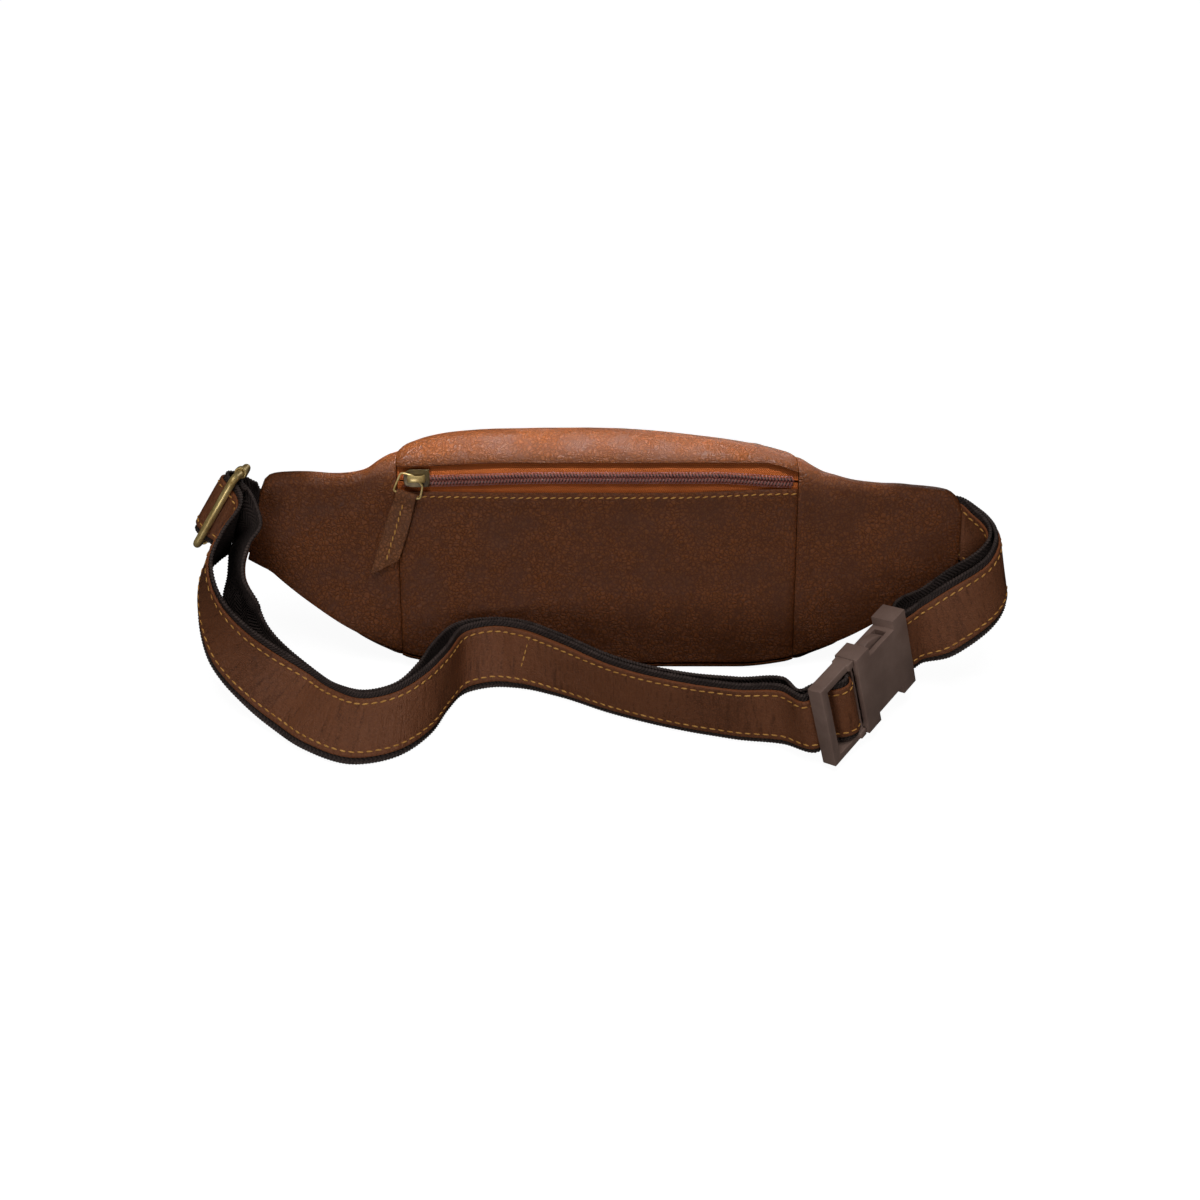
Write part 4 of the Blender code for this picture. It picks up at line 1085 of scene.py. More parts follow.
@dataclass
class Zip:
    """One coil zip with its slider, wire ring and leather pull."""

    label: str
    frame: LocalFrame
    span: Tuple[float, float]
    tape_span: Tuple[float, float]
    reach: Callable[[float], Tuple[float, float]]
    slider_x: float
    tape: bpy.types.Material
    wardrobe: Wardrobe
    sag: Tuple[float, float] = (0.0, 0.0)
    pitch: float = 1.8
    tooth: Tuple[float, float, float] = (0.85, 2.7, 1.3)
    ring_height: float = 3.3
    ring_round: float = 1.6
    tab_half: float = 6.5
    tab_ends: Tuple[float, float] = (49.0, 36.5)

    def middle(self, x: float) -> float:
        """Return how far the chain is pulled from its straight line at x."""
        return -self.sag[0] * smooth((-28.0 - x) / 70.0) - self.sag[1] * smooth((x - 62.0) / 42.0)

    def build(self) -> None:
        """Build the zip."""
        self.tapes()
        self.coils()
        slider = LocalFrame(self.frame.out((self.slider_x, 0.0, 0.0)), self.frame.ex, self.frame.ey)
        self.slider(slider)
        self.pull(slider)

    def tapes(self) -> None:
        """Build the two woven tapes, ribbed along the zip."""
        xs = np.linspace(self.tape_span[0], self.tape_span[1], 90)
        for side, sign, k in (("upper", 1.0, 0), ("lower", -1.0, 1)):
            face = np.zeros((len(xs), 29, 3))
            back = np.zeros_like(face)
            for i, x in enumerate(xs):
                far = self.reach(x)[k]
                near = sign * 0.45 + self.middle(x)
                for j in range(29):
                    y = near + (sign * far - near) * j / 28.0
                    rib = 0.11 * math.cos(2.0 * math.pi * y / 1.25)
                    wave = 0.2 * ripple(vec(x, y, 0.0), 17.0, 5.0 * k)
                    face[i, j] = self.frame.out((x, y, -1.85 + rib + wave))
                    back[i, j] = self.frame.out((x, y, -2.5 + wave))
            obj = mesh_object(self.label + "_tape_" + side, *closed_sheet(face, back), self.tape, 80.0)
            place(obj, PACK_BODY, "zip_tape", self.label + "_zip_tape_" + side)

    def coils(self) -> None:
        """Build both coils, offset by half a tooth, and their sewing threads."""
        f = self.frame
        xs = np.linspace(self.span[0], self.span[1], 80)
        for side, sign, shift in (("upper", 1.0, 0.0), ("lower", -1.0, 0.5)):
            teeth = Repeater(Repeat.TOOTH, self.tooth)
            line = [f.out((x, sign * 1.4 + self.middle(x), -0.7)) for x in xs]
            teeth.along(line, [f.ez] * len(line), self.pitch, 0.42 * sign, shift * self.pitch)
            obj = teeth.build(self.label + "_coil_teeth_" + side, self.wardrobe.coil)
            place(obj, PACK_BODY, "zip_coil", self.label + "_zip_coil_" + side)
            # The coil's core cord is real, but its near-black selvage finish is painted shade, so the gaps between the
            # teeth read dark.
            cord = [f.out((x, sign * 1.4 + self.middle(x), -0.85)) for x in xs]
            gap_shade_core = mesh_object(self.label + "_coil_shade_cord_" + side, *wire(cord, 0.75, f.ey, 8), self.wardrobe.selvage)
            place(gap_shade_core, PACK_BODY, "zip_coil")
            sewing = Repeater(Repeat.STITCH, (2.1, 0.6, 0.5))
            line = [f.out((x, sign * 2.95 + self.middle(x), -0.75)) for x in xs]
            sewing.along(line, [f.ez] * len(line), 2.2, 0.12)
            place(sewing.build(self.label + "_coil_thread_" + side, self.wardrobe.coil), PACK_BODY, "zip_coil")

    def slider(self, frame: LocalFrame) -> None:
        """Build the slider: two shield plates with flanges, a post between them and an arched bridge."""
        plates = []
        for low, high, half, back, nose in ((0.35, 1.75, 4.9, -7.2, 7.0), (-3.9, -2.8, 4.4, -6.4, 6.2)):
            outline = []
            for k in range(36):
                angle = 2.0 * math.pi * k / 36
                c, s = math.cos(angle), math.sin(angle)
                c = math.copysign(abs(c) ** 0.42, c)
                s = math.copysign(abs(s) ** 0.5, s)
                x = (back + nose) / 2.0 + (nose - back) / 2.0 * c
                taper = 1.0 - 0.12 * smooth((back + 5.0 - x) / 5.0)
                outline.append((x, half * s * taper))
            plates.append(prism(outline, low, high))
        for sign in (1.0, -1.0):
            low, high = sorted((sign * 3.95, sign * 4.75))
            plates.append(prism([(-4.6, low), (6.6, low), (6.6, high), (-4.6, high)], -0.9, 0.5))
        post = prism([(-5.0, -0.2), (4.0, -0.2), (4.0, 0.2), (-5.0, 0.2)], -2.85, 0.4)
        obj = mesh_object(
            self.label + "_slider_body", frame.all(merged(*plates, post)[0]), merged(*plates, post)[1],
            self.wardrobe.aged)
        soften(obj, 0.38, 3, 40.0)
        place(obj, self.label + "_slider", "brass", self.label + "_zip_slider")
        arch = []
        for k in range(21):
            angle = math.pi * k / 20
            c, s = math.cos(angle), math.sin(angle)
            c = math.copysign(abs(c) ** 0.6, c)
            middle = vec(-0.3 - 4.4 * c, 0.0, 1.5 + 3.35 * abs(s) ** 0.62)
            out = unit(vec(-c * 0.9, 0.0, s + 1e-3))
            half = 1.75 + 0.35 * abs(c) ** 4
            ring = []
            for t, y in ((0.25, -1.0), (0.52, -0.6), (0.62, 0.0), (0.52, 0.6), (0.25, 1.0), (-0.4, 1.0), (-0.4, -1.0)):
                ring.append(middle + out * t + vec(0.0, y * half, 0.0))
            arch.append(ring)
        verts, faces = tube(arch)
        bridge = mesh_object(self.label + "_slider_bridge", frame.all(verts), faces, self.wardrobe.brass, 55.0)
        place(bridge, self.label + "_slider", "brass")

    def pull(self, slider: LocalFrame) -> None:
        """Build the wire ring and hang the leather tab on its lower side."""
        loop = [slider.out((*spot, self.ring_height)) for spot in rounded_loop(RING_CORNERS, self.ring_round)]
        verts, faces = wire(loop, 0.6, slider.ez, 10, True)
        ring = mesh_object(self.label + "_ring_wire", verts, faces, self.wardrobe.brass, 60.0)
        place(ring, self.label + "_ring", "brass", self.label + "_pull_ring")
        low_right, low_left = (vec(*corner) for corner in RING_CORNERS[3:5])
        hold = (low_right + low_left) / 2.0
        side = unit(low_right - low_left)
        origin = slider.out((*hold, self.ring_height))
        along = slider.out((*(hold + vec(side[1], -side[0])), self.ring_height)) - origin
        self.leather_tab(LocalFrame(origin, along, np.cross(slider.ez, along)))

    def leather_tab(self, tab: LocalFrame) -> None:
        """Build the leather tab folded over the ring, cut at a slant below, with one line of stitches.

        Args:
            tab: frame at the ring: down the tab, across it, out of its face.
        """
        rows = 48
        cols = 16
        face = np.zeros((rows + 1, cols + 1, 3))
        back = np.zeros_like(face)
        left, right = self.tab_ends
        for i in range(rows + 1):
            for j in range(cols + 1):
                across = -1.0 + 2.0 * j / cols
                low = (left + right) / 2.0 - (left - right) / 2.0 * across
                low -= 1.1 * bell(abs(across) - 1.0, 0.16)
                along = 1.5 + (low - 1.5) * i / rows
                wide = self.tab_half * (0.87 + 0.13 * smooth((along - 1.0) / 16.0))
                pillow = 0.2 * (1.0 - across ** 4)
                fold = 0.85 * (1.0 - smooth((along - 1.0) / 7.0))
                groove = 0.2 * bell(across + 0.05, 0.12) * smooth((along - 4.0) / 3.0)
                wave = 0.14 * ripple(vec(along, across * self.tab_half, 0.0), 8.0, len(self.label))
                face[i, j] = tab.out((along, across * wide, 0.05 + pillow + fold - groove + wave))
                back[i, j] = tab.out((along, across * wide, -2.1 + 0.5 * wave))
        path = [(5.5, 0.45), (3.6, 0.75), (2.0, 1.1), (0.4, 1.38), (-0.8, 1.15), (-1.5, 0.45), (-1.55, -0.5),
                (-1.0, -1.3), (0.3, -1.62), (2.4, -1.6)]
        points = spline([vec(x, 0.0, z) for x, z in path], 4)
        half = self.tab_half * 0.875
        rings = []
        for i, point in enumerate(points):
            step = points[min(i + 1, len(points) - 1)] - points[max(i - 1, 0)]
            out = unit(vec(-step[2], 0.0, step[0]))
            rings.append([tab.out(point + out * t + vec(0.0, y, 0.0))
                          for t, y in ((0.4, -half), (0.4, half), (-0.4, half), (-0.4, -half))])
        obj = mesh_object(
            self.label + "_tab_leather", *merged(closed_sheet(face, back), tube(rings)), self.wardrobe.tab)
        soften(obj, 0.4, 3, 50.0)
        place(obj, self.label + "_tab", "leather", self.label + "_pull_tab")
        sewing = Repeater(Repeat.STITCH, (2.9, 0.8, 0.6))
        line = [tab.out((l, -0.3 + 0.4 * ripple(vec(l, 0.0, 0.0), 6.0), 0.25)) for l in np.arange(7.0, 39.0, 1.5)]
        sewing.along(line, [tab.ez] * len(line), 3.7, 0.22)
        place(sewing.build(self.label + "_tab_stitches", self.wardrobe.thread), self.label + "_tab", "leather")


@dataclass
class Buckle:
    """The side-release buckle: moulded pieces with rounded edges."""

    wardrobe: Wardrobe
    nodes: Dict[str, bpy.types.Object]
    frame: LocalFrame

    def rounded(self, node: str, name: str, body: str, width: float) -> None:
        """Build a rounded copy of a moulded piece.

        Args:
            node: CAD node.
            name: piece name.
            body: body that it rides on.
            width: rounding in millimetres.
        """
        mesh = self.nodes[node].data.copy()
        mesh.name = name
        mesh.materials.clear()
        mesh.materials.append(self.wardrobe.buckle)
        work = bmesh.new()
        work.from_mesh(mesh)
        bmesh.ops.remove_doubles(work, verts=work.verts, dist=1e-6)
        bmesh.ops.dissolve_limit(work, angle_limit=0.01, verts=work.verts, edges=work.edges)
        work.to_mesh(mesh)
        work.free()
        obj = bpy.data.objects.new(name, mesh)
        bpy.context.scene.collection.objects.link(obj)
        soften(obj, width, 3, 30.0)
        place(obj, body, "buckle", node)

    def build(self) -> None:
        """Build the plug, the prongs and the socket."""
        self.rounded("buckle_plug", "plug_moulding", "plug", 0.7)
        self.rounded("plug_prong_upper", "prong_upper_moulding", "prong_upper", 0.7)
        self.rounded("plug_prong_lower", "prong_lower_moulding", "prong_lower", 0.7)
        self.rounded("buckle_socket", "socket_moulding", PACK_BODY, 0.8)
        self.ribs()

    def ribs(self) -> None:
        """Build the grip ribs on the inner side of the plug's end bar."""
        parts = []
        for k in range(25):
            w = -18.0 + 1.5 * k
            outline = [(5.0, w - 0.4), (6.3, w - 0.4), (6.3, w + 0.4), (5.0, w + 0.4)]
            parts.append(prism(outline, 0.2, 3.4))
        verts, faces = merged(*parts)
        obj = mesh_object("plug_grip_ribs", self.frame.all(verts), faces, self.wardrobe.buckle)
        soften(obj, 0.2, 2, 40.0)
        place(obj, "plug", "buckle")


@dataclass
class Adjuster:
    """The wire adjuster on the long strap."""

    wardrobe: Wardrobe
    frame: LocalFrame
    pitch: float = 13.2
    half: float = 22.5
    gauge: float = 2.1
    corner: float = 4.0
    collar: Tuple[float, float] = (2.2, 3.3)

    def build(self) -> None:
        """Build the wire frame and the centre bar with its collars."""
        loop = []
        for sx, sy, start in ((1, 1, 0), (-1, 1, 90), (-1, -1, 180), (1, -1, 270)):
            for k in range(9):
                angle = math.radians(start + 11.25 * k)
                loop.append(self.frame.out((
                    sx * (self.pitch - self.corner) + self.corner * math.cos(angle),
                    sy * (self.half - self.corner) + self.corner * math.sin(angle), 0.0)))
        verts, faces = wire(loop, self.gauge, self.frame.ez, 16, True)
        obj = mesh_object("adjuster_wire", verts, faces, self.wardrobe.brass)
        place(obj, PACK_BODY, "brass", "adjuster_frame")
        parts = [wire([self.frame.out((0.0, w, 0.0)) for w in (-20.0, -10.0, 0.0, 10.0, 20.0)], 1.2,
                      self.frame.ez, 12)]
        for sign in (1.0, -1.0):
            rings = []
            for g, r in ((-1.8, 0), (-1.8, 1), (1.8, 1), (1.8, 0)):
                ring = []
                for k in range(24):
                    angle = 2.0 * math.pi * k / 24
                    reach = self.collar[r]
                    ring.append(self.frame.out((
                        g, sign * self.half + reach * math.cos(angle), reach * math.sin(angle))))
                rings.append(ring)
            parts.append(tube(rings, True))
        obj = mesh_object("adjuster_centre_bar", *merged(*parts), self.wardrobe.brass)
        soften(obj, 0.35, 2, 60.0)
        place(obj, PACK_BODY, "brass", "adjuster_bar")


Station = Tuple[Point, Point]

LONG_ROUTE = (
    (-205.0, 22.3, 67.4, 0.38, -0.13, 0.92, 10.5), (-208.9, 17.9, 64.4, 0.30, -0.46, 0.83, 14.0),
    (-215.4, 11.0, 60.4, 0.35, -0.61, 0.71, 17.0), (-217.9, 2.5, 52.9, 0.47, -0.62, 0.63, 18.0),
    (-217.8, -6.4, 44.1, 0.60, -0.51, 0.61, 17.0), (-215.6, -15.6, 35.2, 0.71, -0.32, 0.62, 14.0),
    (-211.0, -24.7, 26.8, 0.76, -0.09, 0.64, 11.0), (-203.7, -31.8, 18.7, 0.74, 0.11, 0.66, 8.5),
    (-194.9, -38.0, 11.7, 0.69, 0.28, 0.66, 6.5), (-176.3, -52.0, 4.9, 0.57, 0.59, 0.57, 4.0),
    (-156.5, -66.5, 3.0, 0.40, 0.67, 0.62, 2.9), (-128.0, -75.5, 0.6, 0.15, 0.66, 0.73, 2.4),
    (-107.0, -69.5, 0.6, 0.02, 0.62, 0.78, 2.6), (-92.0, -53.0, 0.6, -0.02, 0.45, 0.89, 5.5),
    (-84.5, -34.0, 0.6, 0.03, 0.30, 0.95, 8.0), (-76.0, -20.5, 0.6, 0.0, 0.50, 0.87, 5.0),
    (-62.0, -15.5, 0.6, 0.0, 0.52, 0.85, 2.6), (-45.0, -16.0, 0.6, 0.0, 0.40, 0.92, 2.4),
    (-24.0, -22.5, 0.6, 0.0, 0.20, 0.98, 2.4), (6.0, -36.5, 0.6, 0.0, 0.02, 1.0, 2.6),
    (40.0, -48.5, 0.6, 0.0, 0.0, 1.0, 3.0), (72.0, -56.5, 0.6, -0.05, 0.05, 1.0, 5.0),
    (96.0, -63.5, 4.0, -0.12, 0.13, 0.98, 6.5),
)
SHORT_ROUTE = (
    (207.4, 29.2, 48.8, -0.06, 0.21, 0.98, 2.2), (213.5, 25.2, 48.1, -0.12, 0.11, 0.99, 2.3),
    (218.2, 19.2, 47.7, -0.19, 0.05, 0.98, 2.5), (220.4, 11.8, 46.8, -0.26, 0.03, 0.96, 3.6),
    (219.9, 3.6, 45.0, -0.33, 0.06, 0.94, 6.0), (216.3, -3.8, 42.3, -0.37, 0.11, 0.92, 9.0),
    (210.8, -10.0, 39.2, -0.41, 0.20, 0.89, 12.0), (204.0, -14.7, 35.6, -0.43, 0.29, 0.85, 14.5),
    (196.7, -17.5, 31.0, -0.43, 0.34, 0.84, 15.5), (188.9, -18.8, 25.9, -0.39, 0.33, 0.86, 14.0),
)
WEAVE_OUTER = (
    (7.8, -7.5, 0.0), (7.2, -2.5, 0.0), (5.7, 2.5, 0.0), (3.1, 5.0, 0.0), (0.0, 5.9, 0.0), (-3.1, 5.0, 0.0),
    (-6.2, 1.7, 0.0), (-8.8, -2.9, 0.1),
)
INNER_TOP = (
    (-193.9, -6.3, 55.4, 0.675, -0.616, 0.407),
    (-197.0, 3.6, 63.1, 0.460, -0.726, 0.511),
    (-197.4, 9.7, 67.7, 0.445, -0.712, 0.543),
    (-195.8, 17.1, 74.0, 0.514, -0.633, 0.579),
    (-192.1, 25.4, 79.6, 0.572, -0.545, 0.612),
)
WEAVE_INNER = ((-3.2, -12.8, 0.6), (-2.2, -7.2, 0.2))
WEAVE_END = ((-3.0, -0.4, 0.0), (-4.0, -2.8, 0.08), (-4.8, -5.3, 0.18), (-5.5, -8.0, 0.3))
LEFT_EXIT = (-195.2, 40.3, 77.5, 0.30, 0.38, 0.87)
PLUG_IN = ((1.5, -6.9), (8.0, -6.2), (12.4, -2.8), (15.0, 1.4))
PLUG_OUT = ((15.6, -5.4), (11.4, -7.7), (7.4, -9.6), (4.4, -10.9))
SOCKET_IN = ((86.0, -5.4), (81.0, -3.7), (77.0, -2.65))
SOCKET_OUT = ((77.0, 2.65), (81.0, 3.7), (86.0, 5.0))


@dataclass
class Belt:
    """The two straps: webbing with a leather strip sewn to its outer side."""

    wardrobe: Wardrobe
    buckle: LocalFrame
    adjuster: LocalFrame
    width: float = 38.0
    webbing_half: float = 0.7
    strip_width: float = 31.0
    strip_span: Tuple[float, float] = (1.0, 2.2)
    floor_gap: float = 0.4
    steps: int = 7
    stitch_inset: float = 2.9
    stitch_pitch: float = 4.7
    splice: Tuple[float, float, float] = (-50.0, -30.0, 34.0)

    def strands(self, rows: Sequence[Sequence[float]], towards: float) -> Tuple[List[Station], List[Station]]:
        """Return the outer and inner strand of a route.

        Args:
            rows: lower edge point, width direction and distance between the strands.
            towards: 1 when the rows run in the strap's own direction on the outer strand, else -1.
        Returns:
            Rows of centre and width direction, for each strand.
        """
        widths = [unit(vec(*row[3:6])) for row in rows]
        centres = [vec(*row[:3]) + w * self.width / 2.0 for row, w in zip(rows, widths)]
        outer = []
        inner = []
        for i, (centre, w) in enumerate(zip(centres, widths)):
            ahead = centres[min(i + 1, len(centres) - 1)] - centres[max(i - 1, 0)]
            normal = unit(np.cross(towards * ahead, w))
            outer.append((centre, w))
            inner.append((centre - rows[i][6] * normal, w))
        return outer, inner

    def turn(self, frame: LocalFrame, along: float, radius: float, start: float, end: float, steps: int
             ) -> List[Station]:
        """Return stations round a bar; angles are in degrees from the run towards the outer face."""
        out = []
        for k in range(steps + 1):
            angle = math.radians(start + (end - start) * k / steps)
            out.append((frame.out((along + radius * math.cos(angle), 0.0, radius * math.sin(angle))), frame.ey))
        return out

    def weave(self, places: Sequence[Tuple[float, float, float]], width: Point) -> List[Station]:
        """Return stations in the adjuster, turning towards the given width direction."""
        frame = self.adjuster
        return [(frame.out((g, 0.0, h)), unit(frame.ey + (width - frame.ey) * t)) for g, h, t in places]

    def on_buckle(self, places: Sequence[Tuple[float, float]]) -> List[Station]:
        """Return stations on the buckle."""
        return [(self.buckle.out((l, 0.0, t)), self.buckle.ey) for l, t in places]

    def long_stations(self) -> List[Station]:
        """Return the long strap's stations from the left wing to its sewn end."""
        outer, inner = self.strands(LONG_ROUTE, 1.0)
        slope = unit(rear_point(0.0, 1.0, 0.0))
        rows = [(rear_point(x, 83.4, 3.7), slope) for x in (-168.0, -178.0, -188.0)]
        rows.append((vec(*LEFT_EXIT[:3]), unit(vec(*LEFT_EXIT[3:]))))
        rows += self.weave(WEAVE_OUTER, outer[0][1]) + outer + self.on_buckle(PLUG_IN)
        rows += self.turn(self.buckle, 20.0, 4.6, 130.0, -90.0, 6) + self.on_buckle(PLUG_OUT)
        rows += list(reversed(inner[5:])) + [(vec(*row[:3]), unit(vec(*row[3:]))) for row in INNER_TOP]
        rows += self.weave(WEAVE_INNER, rows[-1][1])
        rows += self.turn(self.adjuster, 0.0, 2.5, -110.0, 130.0, 6) + self.weave(WEAVE_END, outer[0][1])
        return rows

    def short_stations(self) -> List[Station]:
        """Return the short strap's stations from the right wing round the socket's bar and back."""
        outer, inner = self.strands(SHORT_ROUTE, -1.0)
        slope = unit(rear_point(0.0, 1.0, 0.0))
        rows = [(rear_point(x, 78.8, 4.3), slope) for x in (172.0, 184.0, 198.5)]
        rows += inner + self.on_buckle(SOCKET_IN) + self.turn(self.buckle, 72.0, 2.6, -90.0, -270.0, 5)
        rows += self.on_buckle(SOCKET_OUT) + list(reversed(outer))
        rows += [(rear_point(x, 78.8, 6.3), slope) for x in (198.5, 184.0, 172.0)]
        return rows

    def path(self, stations: Sequence[Station]) -> List[Tuple[Point, Point, Point]]:
        """Return centre, width direction and leather side at fine steps along a strap."""
        fine = spline([np.concatenate([centre, w]) for centre, w in stations], self.steps)
        out = []
        for i, row in enumerate(fine):
            along = fine[min(i + 1, len(fine) - 1)][:3] - fine[max(i - 1, 0)][:3]
            w = unit(row[3:])
            normal = unit(np.cross(along, w))
            centre = row[:3].copy()
            lowest = centre[2] - w[2] * self.width / 2.0
            lowest += min(-self.webbing_half * abs(normal[2]), self.strip_span[1] * normal[2] + 3.5 * w[2])
            centre[2] += max(0.0, self.floor_gap - lowest)
            out.append((centre, w, normal))
        return out

    def swept(self, name: str, path: Sequence[Tuple[Point, Point, Point]],
              profile: Sequence[Tuple[float, float, float]], material: bpy.types.Material,
              lift: Optional[Sequence[float]] = None) -> bpy.types.Object:
        """Build a strip with a profile along a strap.

        Args:
            name: piece name.
            path: centre, width direction and leather side.
            profile: places across, heights towards the leather side, and rim shares.
            material: finish.
            lift: extra height of the face at each step.
        Returns:
            The strip, with UV in metres along and across it.
        """
        rings = []
        reach = [0.0]
        for i, (centre, w, normal) in enumerate(path):
            extra = lift[i] if lift is not None else 0.0
            rings.append([centre + w * a + normal * (h + extra * max(0.0, h - 1.2)) for a, h, _ in profile])
            if i:
                reach.append(reach[-1] + float(np.linalg.norm(centre - path[i - 1][0])))
        verts, faces = tube(rings)
        obj = mesh_object(name, verts, faces, material, 70.0)
        mesh = obj.data
        count = len(profile)
        rim = mesh.attributes.new("rim", "FLOAT", "POINT")
        rim.data.foreach_set("value", np.tile([p[2] for p in profile], len(path)).astype(np.float32))
        layer = mesh.uv_layers.new(name="strap")
        for loop in mesh.loops:
            i, j = divmod(loop.vertex_index, count)
            layer.data[loop.index].uv = (reach[i] * MM, profile[j][0] * MM)
        return obj

    def webbing_profile(self) -> List[Tuple[float, float, float]]:
        """Return the webbing's section, with thick rounded selvages."""
        half = self.width / 2.0
        t = self.webbing_half
        rows = []
        for k in range(9):
            angle = -math.pi / 2.0 + math.pi * k / 8
            rows.append((half - 0.8 + 0.8 * math.cos(angle), 0.8 * math.sin(angle), 0.0))
        for a in (half - 2.6, 8.0, 0.0, -8.0, -half + 2.6):
            rows.append((a, t, 0.0))
        for k in range(9):
            angle = math.pi / 2.0 + math.pi * k / 8
            rows.append((-half + 0.8 + 0.8 * math.cos(angle), 0.8 * math.sin(angle), 0.0))
        for a in (-half + 2.6, -8.0, 0.0, 8.0, half - 2.6):
            rows.append((a, -t, 0.0))
        return rows

    def strip_profile(self) -> List[Tuple[float, float, float]]:
        """Return the leather strip's section: a crowned face, sewn grooves and raw edges."""
        half = self.strip_width / 2.0
        low, high = self.strip_span
        seam = half - self.stitch_inset
        rows = [(half, low, 1.0), (half + 0.05, low + 0.5, 1.0), (half - 0.1, high - 0.25, 1.0),
                (half - 0.55, high, 0.25)]
        rows += [(seam + 1.0, high + 0.05, 0.0), (seam, high - 0.16, 0.0), (seam - 1.2, high + 0.06, 0.0)]
        rows += [(a, high + 0.12, 0.0) for a in (8.0, 3.0, -3.0, -8.0)]
        rows += [(-seam + 1.2, high + 0.06, 0.0), (-seam, high - 0.16, 0.0), (-seam - 1.0, high + 0.05, 0.0)]
        rows += [(-half + 0.55, high, 0.25), (-half + 0.1, high - 0.25, 1.0), (-half - 0.05, low + 0.5, 1.0),
                 (-half, low, 1.0)]
        rows += [(a, low, 0.0) for a in (-8.0, 0.0, 8.0)]
        return rows

    def strap(self, label: str, stations: Sequence[Station], ends: Optional[Tuple[Point, Point]]) -> None:
        """Build one strap with its stitches.

        Args:
            label: long or short.
            stations: rows of centre and width direction.
            ends: two points towards the plug, if given; only whether they are given is used, and a strap without them
                rides on the pack.
        """
        path = self.path(stations)
        lift = [0.0] * len(path)
        if label == "long":
            lift = self.spliced(path)
        webbing = self.swept(label + "_webbing_weave", path, self.webbing_profile(), self.wardrobe.webbing)
        strip = self.swept(label + "_leather_strip", path, self.strip_profile(), self.wardrobe.strip, lift)
        sewing = Repeater(Repeat.STITCH, (3.4, 0.95, 0.75))
        for sign in (1.0, -1.0):
            at = sign * (self.strip_width / 2.0 - self.stitch_inset)
            line = [c + w * at + n * (self.strip_span[1] + extra + 0.04)
                    for (c, w, n), extra in zip(path, lift)]
            sewing.along(line, [n for _, _, n in path], self.stitch_pitch, 0.09 * sign, 2.0)
        if label == "long":
            self.cross_stitch(sewing, path, lift)
        stitches = sewing.build(label + "_strap_stitches", self.wardrobe.thread)
        edge = Repeater(Repeat.STITCH, (2.5, 1.5, 2.3))
        for sign in (1.0, -1.0):
            line = [c + w * sign * (self.width / 2.0 - 0.7) for c, w, _ in path]
            edge.along(line, [n for _, _, n in path], 1.7, 0.75 * sign)
        braid = edge.build(label + "_webbing_selvage", self.wardrobe.selvage)
        pieces = ((webbing, "webbing", (label + "_strap_webbing",)),
                  (strip, "strap_leather", (label + "_strap_leather",)), (stitches, "strap_leather", ()),
                  (braid, "webbing", ()))
        for obj, slot, nodes in pieces:
            if ends is None:
                place(obj, PACK_BODY, slot, *nodes)
            else:
                start, stop = to_metres(ends)
                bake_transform(obj)
                stand_in(obj, slot, *nodes)

    def splice_step(self, path: Sequence[Tuple[Point, Point, Point]]) -> int:
        """Return the step of the path where one leather strip is lapped over the next."""
        outer = path[: len(path) // 2]
        return min(range(len(outer)), key=lambda i: abs(outer[i][0][0] - self.splice[0]) + (outer[i][0][1] < -60) * 99)

    def spliced(self, path: Sequence[Tuple[Point, Point, Point]]) -> List[float]:
        """Return the extra height of the lapped strip at each step."""
        start = self.splice_step(path)
        lift = [0.0] * len(path)
        reach = 0.0
        for i in range(start, len(path) // 2):
            reach += float(np.linalg.norm(path[i][0] - path[i - 1][0]))
            lift[i] = 0.9 * smooth(reach / 1.5) * (1.0 - smooth((reach - self.splice[2]) / 30.0))
        return lift

    def cross_stitch(self, sewing: Repeater, path: Sequence[Tuple[Point, Point, Point]], lift: Sequence[float]
                     ) -> None:
        """Sew across the lapped end."""
        i = self.splice_step(path) + 3
        c, w, n = path[i]
        ahead = unit(path[i + 1][0] - c)
        line = [c + (w + 0.29 * ahead) * a + n * (self.strip_span[1] + lift[i] + 0.1) for a in np.arange(-12.0, 12.5, 1.0)]
        sewing.along(line, [n] * len(line), 4.0)

    def build(self) -> None:
        """Build both straps."""
        self.strap("long", self.long_stations(), (vec(30.0, -42.0, 20.0), vec(102.0, -66.0, 24.0)))
        self.strap("short", self.short_stations(), None)


